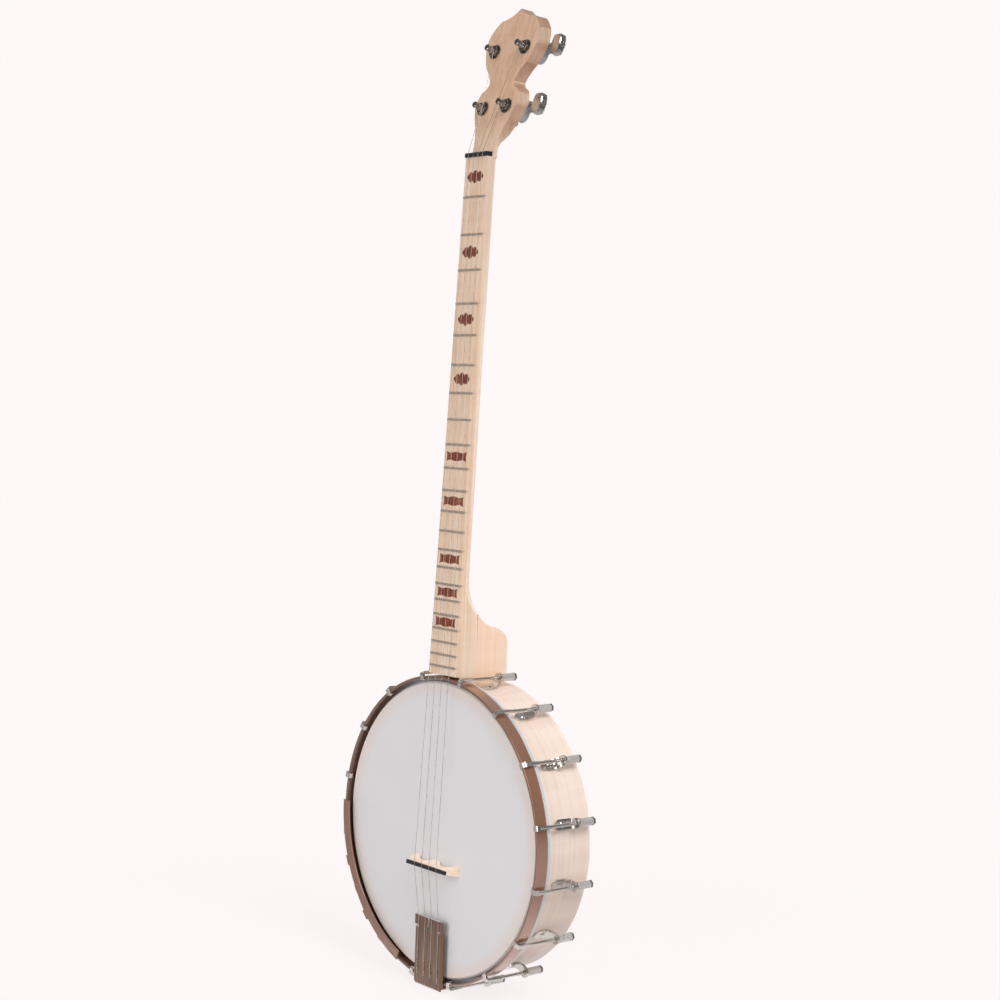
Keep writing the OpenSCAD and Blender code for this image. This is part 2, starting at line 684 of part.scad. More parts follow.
arm_back = hoop_proud + claw_thick / 2 + 0.1;
arm_thick = 1.6;
arm_outer = hoop_outer - 0.8;
bracket_step = 360 / bracket_count;
clamp_at = [round(112.5 / bracket_step) * bracket_step, round(135 / bracket_step) * bracket_step];
clamp_width = 10;
clamp_wall = hoop_outer + 1.4;
clamp_screw_y = 3;
module armrest() {
    color(bronze) on_drum() rotate([-90, 0, 0]) rotate([0, 0, 270 - arm_to])
        rotate_extrude(angle = arm_to - arm_from, $fn = 180)
            soft_section(arm_outer - arm_width, arm_outer, -arm_back - arm_thick, -arm_back, 0.6);
}
module armrest_clamps() {
    half = clamp_width / 2;
    reach = 8;
    color(bronze) on_drum() for (a = clamp_at) rotate([0, -a, 0]) difference() {
        sideways(-half, half) polygon([
            [-arm_back, arm_outer - 6], [-arm_back, clamp_wall + sheet],
            [reach, clamp_wall + sheet], [reach, clamp_wall],
            [-hoop_proud - 0.1, clamp_wall], [-hoop_proud - 0.1, arm_outer - 6]]);
        translate([0, clamp_screw_y, 0]) rod_z(1.5, 140, 160);
    }
}
module armrest_screws() {
    color(nickel) on_drum() for (a = clamp_at) rotate([0, -a, 0]) translate([0, clamp_screw_y, 0]) {
        rod_z(1.5, hoop_outer, clamp_wall + sheet);
        rod_z(2.7, clamp_wall + sheet, clamp_wall + sheet + 1.4);
    }
}

// Tuners

function case_outline(r, top, round) = concat(round_corner([0, 0], r, 180, 360, 12),
    round_corner([r - round, top - round], round, 0, 90),
    round_corner([round - r, top - round], round, 90, 180));

// The part of a housing that holds the worm
module tube_outline(from) {
    intersection() {
        polygon(case_outline(case_r, case_top, 2.5));
        translate([-case_r, from]) square([2 * case_r, case_top]);
    }
}
module tuner_housings() {
    inner_half = case_r - case_wall;
    floor_y = peg_thick + case_floor;
    color(nickel) for (k = [1:4]) at_tuner(k) difference() {
        union() {
            facing(peg_thick, peg_thick + case_depth) polygon(case_outline(case_r, case_top, 2.5));
            facing(peg_thick, peg_thick + tube_depth) tube_outline(tube_low);
            translate([0, worm_depth, worm_offset]) rod_x(3.8, 0, boss_end);
            facing(peg_thick, peg_thick + 1.6) polygon(concat(
                round_corner([0, lug_z], 3.2, 180, 360), [[3.2, lug_z + 5], [-3.2, lug_z + 5]]));
        }
        facing(floor_y, peg_thick + tube_depth + 1) polygon(concat(round_corner([0, 0], 6.8, 150, 390, 16),
            [[inner_half, 5], [inner_half, case_top - 1.3], [-inner_half, case_top - 1.3], [-inner_half, 5]]));
        rod_y(post_r + running, peg_thick - 1, floor_y + 1);
        translate([0, worm_depth, worm_offset]) rod_x(journal_r + running, -20, 20);
        translate([0, 0, lug_z]) rod_y(1.1, peg_thick - 1, peg_thick + 3);
    }
}
module tuner_covers() {
    low = peg_thick + case_depth;
    high = peg_thick + tube_depth;
    color(nickel) for (k = [1:4]) at_tuner(k) {
        facing(low, low + cover_thick) difference() {
            polygon(case_outline(case_r, case_top, 2.5));
            translate([-case_r, tube_low]) square([2 * case_r, case_top]);
        }
        facing(high, high + cover_thick) tube_outline(tube_low - cover_thick);
        facing(low, high + cover_thick) translate([-case_r, tube_low - cover_thick])
            square([2 * case_r, cover_thick]);
    }
}
module tuner_bushings() {
    color(nickel) for (k = [1:4]) at_tuner(k) difference() {
        union() {
            rod_y(bush_r - running, -washer_thick, 11);
            translate([0, -washer_thick - hex_thick, 0]) rotate([-90, 0, 0])
                cylinder(d = 10 / cos(30), h = hex_thick, $fn = 6);
        }
        rod_y(post_r + running, -10, 20);
    }
}
module tuner_washers() {
    color(nickel) for (k = [1:4]) at_tuner(k) difference() {
        rod_y(7.2, -washer_thick, 0);
        rod_y(bush_r, -5, 5);
    }
}
module tuner_screws() {
    top = peg_thick + 1.6;
    color(nickel) for (k = [1:4]) at_tuner(k) translate([0, 0, lug_z]) {
        rod_y(1.1, 8, top);
        rod_y(2.3, top, top + 1.3);
    }
}

// Where the string meets the post, in the peghead's frame
function nut_exit(k) = to_peg([across(k, nut_spacing), nut_string_y, nut_thick]);
function post_centre(k) = [side(k) * post_x(k), post_s(k)];
function run_angle(k) = let (n = nut_exit(k), d = post_centre(k) - [n.x, n.z])
    atan2(d.y, d.x) + side(k) * asin(winding_r / norm(d));
function touch_angle(k) = run_angle(k) + side(k) * 90;
function on_post(k, angle, r, level) = let (c = post_centre(k))
    [c.x + r * cos(angle), level, c.y + r * sin(angle)];
function touch_pt(k) = on_post(k, touch_angle(k), winding_r, winding_level);
function join_pt(k) = touch_pt(k) - string_d * unit(touch_pt(k) - nut_exit(k));
function end_angle(k) = touch_angle(k) - side(k) * 360 * winding_loops;
hole_level = winding_level - winding_pitch * winding_loops;

rings_per_loop = 24;
function winding_path(k) = concat([join_pt(k)],
    [for (i = [0:rings_per_loop * winding_loops]) let (turn = i / rings_per_loop)
        on_post(k, touch_angle(k) - side(k) * 360 * turn, winding_r, winding_level - winding_pitch * turn)],
    [on_post(k, end_angle(k), 1.4, hole_level)]);
// Least gap between points of a winding that lie at least half a loop apart
function winding_gap(path) = min([for (i = [0:len(path) - 1], j = [i + rings_per_loop / 2:1:len(path) - 1])
    norm(path[i] - path[j])]) - string_d;
echo(winding_gaps = [for (k = [1:4]) winding_gap(winding_path(k))]);

module string_winding(k) {
    color(string_grey) on_peghead() skin(tube(winding_path(k), string_r, [0, 1, 0]));
}
module string_run(k) {
    tail_y = -tail_front - string_r - 0.2;
    tail_x = across(k, tail_spacing);
    slot_z = -tail_wall + 9;
    top_y = -bridge_height + 0.5 - string_r - 0.05;
    bridge_x = across(k, bridge_spacing);
    nut_x = across(k, nut_spacing);
    path = [
        drum_pt([tail_x, -tail_front + tail_sheet + 1.2, slot_z - 1.4]),
        drum_pt([tail_x, -tail_front + tail_sheet / 2, slot_z]),
        drum_pt([tail_x, tail_y, slot_z + 3]),
        drum_pt([tail_x, tail_y, -tail_top - 0.5]),
        drum_pt([bridge_x, top_y, bridge_z - 2]),
        drum_pt([bridge_x, top_y, bridge_z + 2]),
        neck_pt([nut_x, nut_string_y, 0]),
        neck_pt([nut_x, nut_string_y, nut_thick]),
        neck_pt(peg_pt(join_pt(k)))
    ];
    color(string_grey) skin(tube(path, string_r, [1, 0, 0]));
}

module tuner_post(k) {
    color(nickel) difference() {
        at_tuner(k) {
            turned() polygon([
                [0, -post_tip], [2.5, -post_tip], [3.1, 0.6 - post_tip], [3.1, 1.7 - post_tip],
                [post_waist, 2.2 - post_tip], [post_waist, 0.4 - hex_thick - washer_thick - 0.8],
                [post_r, -hex_thick - washer_thick], [post_r, worm_depth - wheel_thick / 2],
                [0, worm_depth - wheel_thick / 2]]);
            translate([-wheel_square / 2, 10, -wheel_square / 2])
                cube([wheel_square, worm_depth + wheel_thick / 2 + 0.2 - 10, wheel_square]);
        }
        on_peghead() translate([post_centre(k).x, hole_level, post_centre(k).y])
            rotate([0, -end_angle(k), 0]) rod_x(0.8, -5, 5);
    }
}
module worm_wheel(k) {
    color("#b08d57") at_tuner(k) translate([0, worm_depth, 0]) difference() {
        union() {
            facing(-wheel_thick / 2, wheel_thick / 2)
                polygon([for (i = [0:27]) wheel_root * [cos(i * 360 / 28), sin(i * 360 / 28)]]);
            for (i = [0:wheel_teeth - 1]) rotate([0, i * 360 / wheel_teeth, 0]) rotate([0, 0, -worm_lead])
                facing(-wheel_thick / 2, wheel_thick / 2) polygon([
                    [-0.65, wheel_root - 0.6], [0.65, wheel_root - 0.6], [0.32, wheel_tip], [-0.32, wheel_tip]]);
        }
        translate([-wheel_square / 2, -5, -wheel_square / 2] - [1, 0, 1] * 0.01)
            cube([wheel_square + 0.02, 10, wheel_square + 0.02]);
    }
}
// The thread is one ridge wound along the shaft; a tooth gap of the wheel faces it at rest
steps_per_turn = 16;
thread_turns = floor(2 * (worm_half - 1) / worm_pitch * steps_per_turn) / steps_per_turn;
function thread_rings() = let (turns = thread_turns)
    [for (i = [0:turns * steps_per_turn]) let (
        turn = i / steps_per_turn - turns / 2,
        a = 360 * turn,
        x = worm_pitch * (turn - 0.25),
        at = function (r, dx) [x + dx, r * cos(a), r * sin(a)])
        [at(worm_core - 0.3, -0.66), at(worm_tip, -0.3), at(worm_tip, 0.3), at(worm_core - 0.3, 0.66)]];
module worm_shaft(k) {
    shaft_end = button_from + 8.4;
    color(nickel) at_tuner(k) translate([0, worm_depth, worm_offset]) {
        skin(thread_rings());
        rod_x(worm_core, -worm_half, worm_half);
        rod_x(journal_r, 0.3 - case_r, shaft_end);
        rod_x(2.7, boss_end + 0.3, boss_end + 1.5);
    }
}
module tuner_button(k) {
    corner = [0.34 * button_length, 0.475 * button_width];
    end = concat(bow([-corner.x, corner.y], corner, corner.y - button_width / 2, 5),
        bow(corner, [corner.x, -corner.y], corner.x - button_length / 2, 10));
    shape = concat(end, -end);
    shaft_end = button_from + 8.4;
    far_end = button_from + button_length;
    color(nickel) at_tuner(k) translate([0, worm_depth, worm_offset]) difference() {
        union() {
            translate([button_from + button_length / 2, 0, 0]) hull() {
                facing(-button_thick / 2, button_thick / 2) polygon(0.92 * shape);
                facing(-0.36 * button_thick, 0.36 * button_thick) polygon(shape);
            }
            rod_x(3, boss_end + 1.8, button_from + 2);
        }
        rod_x(journal_r + 0.02, 0, shaft_end + 0.2);
        rod_x(1.05, 0, far_end + 1);
        rod_x(2.9, far_end - 0.6, far_end + 1);
    }
}
module button_screw(k) {
    far_end = button_from + button_length;
    color(nickel) at_tuner(k) translate([0, worm_depth, worm_offset]) difference() {
        union() {
            rod_x(1, button_from + 8.6, far_end);
            rod_x(2.6, far_end - 0.6, far_end + 0.7);
        }
        translate([far_end + 0.2, -0.35, -5]) cube([1, 0.7, 10]);
    }
}

neck();
heel_block();
frets();
nut();
oval_inlays();
bowtie_inlays();
rim();
head_film();
flesh_hoop();
tension_hoop();
bracket_hooks();
bracket_nuts();
bracket_shoes();
shoe_bolts();
shoe_washers();
tailpiece();
tailpiece_bolt();
tailpiece_nut();
bridge_body();
bridge_top();
armrest();
armrest_clamps();
armrest_screws();
neck_bolts();
neck_washers();
tuner_housings();
tuner_covers();
tuner_bushings();
tuner_washers();
tuner_screws();
for (k = [1:4]) {
    string_run(k);
    tuner_post(k);
    worm_wheel(k);
    string_winding(k);
    worm_shaft(k);
    tuner_button(k);
    button_screw(k);
}
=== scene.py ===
"""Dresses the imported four-string banjo: finishes, strings, fine hardware, studio and camera."""

import logging
import math
from dataclasses import dataclass
from enum import Enum
from typing import Callable, Dict, Optional, Sequence, Tuple, Union

import bmesh
import bpy
from mathutils import Matrix, Vector


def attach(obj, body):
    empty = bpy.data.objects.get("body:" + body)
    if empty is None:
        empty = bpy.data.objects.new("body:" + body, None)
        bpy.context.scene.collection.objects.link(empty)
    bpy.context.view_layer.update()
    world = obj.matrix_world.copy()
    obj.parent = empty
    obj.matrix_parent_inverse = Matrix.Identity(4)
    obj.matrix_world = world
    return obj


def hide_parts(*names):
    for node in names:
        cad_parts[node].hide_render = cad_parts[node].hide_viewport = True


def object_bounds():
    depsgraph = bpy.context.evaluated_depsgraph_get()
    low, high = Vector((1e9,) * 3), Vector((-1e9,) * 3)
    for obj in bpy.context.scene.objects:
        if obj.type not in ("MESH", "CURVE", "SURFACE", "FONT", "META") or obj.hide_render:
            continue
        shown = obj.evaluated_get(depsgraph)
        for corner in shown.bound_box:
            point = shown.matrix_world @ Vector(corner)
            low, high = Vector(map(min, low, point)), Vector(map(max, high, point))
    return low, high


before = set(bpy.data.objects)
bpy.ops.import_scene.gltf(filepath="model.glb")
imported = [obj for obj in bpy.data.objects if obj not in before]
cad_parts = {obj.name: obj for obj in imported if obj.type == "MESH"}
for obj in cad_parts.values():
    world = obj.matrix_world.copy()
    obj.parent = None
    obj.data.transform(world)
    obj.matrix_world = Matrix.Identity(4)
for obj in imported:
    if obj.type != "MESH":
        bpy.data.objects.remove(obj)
CAD_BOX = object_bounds()
LOG = logging.getLogger("banjo")
MM = 0.001

Colour = Tuple[float, float, float]
Point = Tuple[float, float, float]
Pair = Tuple[float, float]
Material = bpy.types.Material
Node = bpy.types.Node
Outputs = bpy.types.NodeOutputs
Socket = bpy.types.NodeSocket
Tree = bpy.types.NodeTree
Value = Union[float, Sequence[float], Socket]
Inputs = Dict[Union[str, int], Value]


def srgb(red: int, green: int, blue: int) -> Colour:
    """Returns the linear colour that shaders take for a screen colour with parts of 0 to 255."""
    parts = [part / 255 for part in (red, green, blue)]
    return tuple(p / 12.92 if p <= 0.04045 else ((p + 0.055) / 1.055) ** 2.4 for p in parts)


def shade(colour: Colour, share: float) -> Colour:
    """Returns a colour brought down to a share of itself."""
    return tuple(share * part for part in colour)


def show(name: str, data: bpy.types.ID) -> bpy.types.Object:
    """Adds an object to the scene.

    Args:
        name: The object's name.
        data: Its mesh, lamp or camera.

    Returns:
        The object.
    """
    made = bpy.data.objects.new(name, data)
    bpy.context.scene.collection.objects.link(made)
    return made


def bare_tree(owner: Union[Material, bpy.types.World]) -> Tree:
    """Clears the nodes of a material or world.

    Args:
        owner: The material or world.

    Returns:
        Its empty tree.
    """
    owner.use_nodes = True
    owner.node_tree.nodes.clear()
    return owner.node_tree


class Layout:
    """The instrument's frames and main sizes, as its solids have them, in metres."""

    strings = 4
    neck_lean = math.radians(2.17)
    peg_tilt = math.radians(13.9)
    board_edge = 6 * MM
    board_length = 487.6 * MM
    board_rise = 3.4 * MM
    hoop_outer = 145.6 * MM
    end_gap = 1.8 * MM
    rim_radius = 138.9 * MM
    rim_inner = 126.2 * MM
    nut_end = 62.4 * MM
    tail_back = -6.3 * MM
    upper_tuners = (2, 3)
    upper_post = Vector((21.8, 0, 109.3))
    lower_post = Vector((17, 0, 50.5))

    @classmethod
    def numbers(cls) -> range:
        """Returns the numbers of strings and tuners, which go up the right side and down the left."""
        return range(1, cls.strings + 1)

    @classmethod
    def side(cls, number: int) -> int:
        """Returns the side of a tuner: 1 on the right, -1 on the left."""
        return 1 if number <= cls.strings / 2 else -1

    @classmethod
    def neck(cls) -> Matrix:
        """Returns the neck's frame."""
        return Matrix.Rotation(-cls.neck_lean, 4, "X")

    @classmethod
    def peghead(cls) -> Matrix:
        """Returns the peghead's frame."""
        edge = cls.neck() @ Matrix.Translation((0, cls.board_edge, 0))
        return edge @ Matrix.Rotation(-cls.peg_tilt, 4, "X")

    @classmethod
    def drum(cls) -> Matrix:
        """Places the drum below the fingerboard.

        Returns:
            The drum's frame, centred on the front of its head.
        """
        below = cls.hoop_outer + cls.end_gap + cls.board_length * math.cos(cls.neck_lean)
        behind = cls.board_rise - cls.board_length * math.sin(cls.neck_lean)
        return Matrix.Translation((0, behind, -below))

    @classmethod
    def tuner(cls, number: int) -> Matrix:
        """Places a tuner on the peghead.

        Args:
            number: The tuner.

        Returns:
            Its frame: X outwards from its post, Y to the back, Z up the peghead.
        """
        post = cls.upper_post if number in cls.upper_tuners else cls.lower_post
        flip = Matrix.Diagonal((cls.side(number), 1, 1, 1))
        return cls.peghead() @ flip @ Matrix.Translation(post * MM)


@dataclass(frozen=True)
class Pattern:
    """Noise for a finish.

    Attributes:
        lumps: How many lumps a metre it has along each axis.
        detail: How many finer layers it carries.
        levels: The noise at which it starts and is full; without them it stays plain noise.
        weight: How strongly it counts where patterns are added up.
    """

    lumps: Point
    detail: float = 2.0
    levels: Optional[Pair] = None
    weight: float = 1.0


class Patterns:
    """The patterns of wood, metal, moulded pieces and film."""

    bands = Pattern((38, 38, 1.6), 3.0, (0.36, 0.66), 0.26)
    rings = Pattern((240, 240, 4.5), 4.0, (0.42, 0.64), 0.44)
    fibres = Pattern((1500, 1500, 45), weight=0.22)
    pores = Pattern((2400, 2400, 170), 1.0, (0.60, 0.74), 0.22)
    curl = Pattern((16, 16, 95), levels=(0.40, 0.66))
    wear = Pattern((420, 420, 420), 3.0, (0.35, 0.65))
    smears = Pattern((55, 55, 40), 4.0, (0.35, 0.70), 0.7)
    scratches = Pattern((1800, 300, 900), weight=0.3)
    buffing = Pattern((520, 520, 22), 3.0, (0.52, 0.68))
    ripples = Pattern((320, 320, 36))
    speckle = Pattern((900, 900, 900), 3.0, (0.45, 0.75))
    dark_streaks = Pattern((900, 900, 60), 3.0, (0.40, 0.62))
    clouds = Pattern((16, 16, 16), 4.0, (0.35, 0.70))
    frost = Pattern((1600, 1600, 1600), 3.0)


class Graph:
    """Adds and joins shader nodes in one tree."""

    PLAIN_NOISE = (0.3, 0.7)

    def __init__(self, tree: Tree) -> None:
        """Takes the tree that gets the nodes."""
        self.tree = tree

    def join(self, node: Node, inputs: Inputs) -> None:
        """Sets a node's inputs or links sockets to them.

        Args:
            node: The node.
            inputs: Values or sockets for its inputs, by name or number.
        """
        for name, value in inputs.items():
            if isinstance(value, Socket):
                self.tree.links.new(value, node.inputs[name])
            elif node.inputs[name].type == "RGBA":
                node.inputs[name].default_value = (*value, 1.0)
            else:
                node.inputs[name].default_value = value

    def add(self, kind: str, inputs: Optional[Inputs] = None, **options: object) -> Node:
        """Adds a node.

        Args:
            kind: The node's type, without its prefix.
            inputs: Values or sockets for its inputs.
            options: Its other settings.

        Returns:
            The node.
        """
        node = self.tree.nodes.new("ShaderNode" + kind)
        for name, option in options.items():
            setattr(node, name, option)
        self.join(node, inputs or {})
        return node

    def math(self, operation: str, first: Value, second: Value = 0.0) -> Socket:
        """Returns the result of one sum on two values."""
        return self.add("Math", {0: first, 1: second}, operation=operation).outputs[0]

    def total(self, *parts: Tuple[Value, Value]) -> Socket:
        """Adds up values, each times its weight.

        Args:
            parts: The values and their weights.

        Returns:
            The sum.
        """
        total, *others = [self.math("MULTIPLY", value, weight) for value, weight in parts]
        for other in others:
            total = self.math("ADD", total, other)
        return total

    def distance(self, first: Socket, second: Socket) -> Socket:
        """Returns how far a point is from an axis, given its two distances square to it."""
        return self.math("SQRT", self.total((first, first), (second, second)))

    def ramp(self, value: Value, low: float, high: float, start: float = 0.0, end: float = 1.0) -> Socket:
        """Returns start to end, smoothly, while the value goes from low to high."""
        places = {"Value": value, "From Min": low, "From Max": high, "To Min": start, "To Max": end}
        return self.add("MapRange", places, interpolation_type="SMOOTHSTEP").outputs[0]

    def mix(self, share: Value, first: Value, second: Value, blend: str = "MIX") -> Socket:
        """Returns a mix of two colours."""
        parts = {0: share, 6: first, 7: second}
        return self.add("Mix", parts, data_type="RGBA", blend_type=blend).outputs[2]

    def pattern(self, place: Socket, pattern: Pattern, start: float = 0.0, end: float = 1.0) -> Socket:
        """Lays a pattern over a surface.

        Args:
            place: The point's place.
            pattern: The pattern.
            start, end: Its values below and above its levels.

        Returns:
            The pattern's value at the point.
        """
        mapped = self.add("Mapping", {"Vector": place, "Scale": pattern.lumps}).outputs[0]
        noise = self.add("TexNoise", {"Vector": mapped, "Scale": 1.0, "Detail": pattern.detail}).outputs[0]
        return self.ramp(noise, *pattern.levels, start, end) if pattern.levels else noise

    def roughness(self, noise: Socket, limits: Pair) -> Socket:
        """Returns a roughness that follows plain noise between two limits."""
        return self.ramp(noise, *self.PLAIN_NOISE, *limits)

    def bump(self, height: Socket, strength: float, depth: float, normal: Optional[Socket] = None) -> Socket:
        """Makes a height catch the light.

        Args:
            height: The height.
            strength: How strongly it shows.
            depth: How deep it is.
            normal: The normal that it starts from, if not the surface's own.

        Returns:
            The new normal.
        """
        node = self.add("Bump", {"Height": height, "Strength": strength, "Distance": depth})
        if normal is not None:
            self.join(node, {"Normal": normal})
        return node.outputs[0]

    def parts(self, vector: Socket) -> Outputs:
        """Returns a vector's X, Y and Z."""
        return self.add("SeparateXYZ", {0: vector}).outputs

    def facing(self) -> Outputs:
        """Returns X, Y and Z of the way that the surface faces."""
        return self.parts(self.add("TexCoord").outputs["Normal"])


class Effect(Enum):
    """Effects that more than one finish uses."""

    GRAIN = "wood_grain"
    EDGES = "softened_edges"
    HANDLING = "handling_marks"
    DRUM = "drum_place"


class EffectLibrary:
    """Builds each effect once, as a node group."""

    SOCKETS = {"v": "NodeSocketVector", "c": "NodeSocketColor", "f": "NodeSocketFloat"}
    PORE_DEPTH = 0.5
    WOOD_ROUGHNESS = (0.34, 0.46)
    BEVEL_SAMPLES = 4
    EDGE_BEND = (0.97, 0.80)
    LEAST_WEAR = 0.3

    def __init__(self) -> None:
        """Starts with no groups."""
        self.made: Dict[Effect, Tree] = {}
        self.makers: Dict[Effect, Callable[[], None]] = {
            Effect.GRAIN: self._grain, Effect.EDGES: self._edges,
            Effect.HANDLING: self._handling, Effect.DRUM: self._drum}

    def group(self, effect: Effect) -> Tree:
        """Builds an effect when it is first asked for.

        Args:
            effect: Which effect.

        Returns:
            Its group.
        """
        if effect not in self.made:
            self.makers[effect]()
        return self.made[effect]

    def _start(self, effect: Effect, inputs: str, outputs: str) -> Tuple[Graph, Outputs, Node]:
        """Starts and keeps a group.

        Args:
            effect: Which effect.
            inputs: Names with a kind letter, such as "Radius:f".
            outputs: The same for its outputs.

        Returns:
            The group's nodes, the sockets that it is given and its output node.
        """
        tree = bpy.data.node_groups.new(effect.value, "ShaderNodeTree")
        self.made[effect] = tree
        for words, way in ((inputs, "INPUT"), (outputs, "OUTPUT")):
            for word in words.split():
                name, kind = word.split(":")
                tree.interface.new_socket(name, in_out=way, socket_type=self.SOCKETS[kind])
        return Graph(tree), tree.nodes.new("NodeGroupInput").outputs, tree.nodes.new("NodeGroupOutput")

    def _grain(self) -> None:
        """Makes the grain of a pale, close-grained wood that runs along the place's third axis."""
        graph, given, result = self._start(Effect.GRAIN, "Place:v Light:c Dark:c Streak:f Curl:f",
                                           "Color:c Height:f Roughness:f")
        lines = (Patterns.bands, Patterns.rings, Patterns.fibres, Patterns.pores)
        shown = [graph.pattern(given["Place"], line) for line in lines]
        _, _, fibres, pores = shown
        streaks = graph.total(*zip(shown, (line.weight for line in lines)))
        curl = graph.pattern(given["Place"], Patterns.curl)
        dark = graph.total((streaks, given["Streak"]), (curl, given["Curl"]))
        graph.join(result, {
            "Color": graph.mix(dark, given["Light"], given["Dark"]),
            "Height": graph.math("SUBTRACT", fibres, graph.math("MULTIPLY", pores, self.PORE_DEPTH)),
            "Roughness": graph.roughness(fibres, self.WOOD_ROUGHNESS)})

    def _edges(self) -> None:
        """Makes rounded edges for light to catch, and a mask of where hands rub them."""
        graph, given, result = self._start(Effect.EDGES, "Radius:f Place:v", "Normal:v Mask:f")
        rounded = graph.add("Bevel", {"Radius": given["Radius"]}, samples=self.BEVEL_SAMPLES).outputs[0]
        flat = graph.add("NewGeometry").outputs["True Normal"]
        same = graph.add("VectorMath", {0: rounded, 1: flat}, operation="DOT_PRODUCT").outputs["Value"]
        patchy = graph.pattern(given["Place"], Patterns.wear, self.LEAST_WEAR)
        rubbed = graph.math("MULTIPLY", graph.ramp(same, *self.EDGE_BEND), patchy)
        graph.join(result, {"Normal": rounded, "Mask": rubbed})

    def _handling(self) -> None:
        """Makes a roughness with faint smears and fine scratches."""
        graph, given, result = self._start(Effect.HANDLING, "Place:v Rough:f Spread:f",
                                           "Roughness:f Smear:f")
        smears = graph.pattern(given["Place"], Patterns.smears)
        scratches = graph.pattern(given["Place"], Patterns.scratches)
        marks = graph.total((smears, Patterns.smears.weight), (scratches, Patterns.scratches.weight))
        rough = graph.math("ADD", given["Rough"], graph.math("MULTIPLY", marks, given["Spread"]))
        graph.join(result, {"Roughness": rough, "Smear": smears})

    def _drum(self) -> None:
        """Finds places round the drum: radius, depth and length along the hoop, split at the bottom."""
        graph, given, result = self._start(Effect.DRUM, "Place:v", "Place:v Radius:f")
        parts = graph.parts(given["Place"])
        height = graph.math("SUBTRACT", parts["Z"], Layout.drum().translation.z)
        radius = graph.distance(parts["X"], height)
        along = graph.math("MULTIPLY", graph.math("ARCTAN2", parts["X"], height), Layout.rim_radius)
        rolled = graph.add("CombineXYZ", {0: radius, 1: parts["Y"], 2: along}).outputs[0]
        graph.join(result, {"Place": rolled, "Radius": radius})


class MaterialGraph(Graph):
    """A material's nodes, with its shader, the point's place and the shared effects at hand."""

    def __init__(self, material: Material, effects: EffectLibrary) -> None:
        """Starts a material with a plain shader.

        Args:
            material: The material.
            effects: The shared effects.
        """
        super().__init__(bare_tree(material))
        self.effects = effects
        self.shader = self.add("BsdfPrincipled")
        self.add("OutputMaterial", {0: self.shader.outputs[0]})
        self.place = self.add("TexCoord").outputs["Object"]

    def effect(self, effect: Effect, **inputs: Value) -> Outputs:
        """Returns the outputs of an effect, at the point's place unless these inputs name another."""
        named = {name.capitalize(): value for name, value in {"place": self.place, **inputs}.items()}
        return self.add("Group", named, node_tree=self.effects.group(effect)).outputs


class GrainLie(Enum):
    """Which way the grain of a wooden piece runs: how the pattern is turned, or round the drum."""

    UP = (0.0, 0.0, 0.0)
    ACROSS = (0.0, math.pi / 2, 0.0)
    ROUND_DRUM = None


@dataclass(frozen=True)
class Finish:
    """A finish with a name; each kind fills its own material."""

    name: str

    def fill(self, graph: MaterialGraph) -> None:
        """Joins the finish's own nodes to the shader."""
        raise NotImplementedError


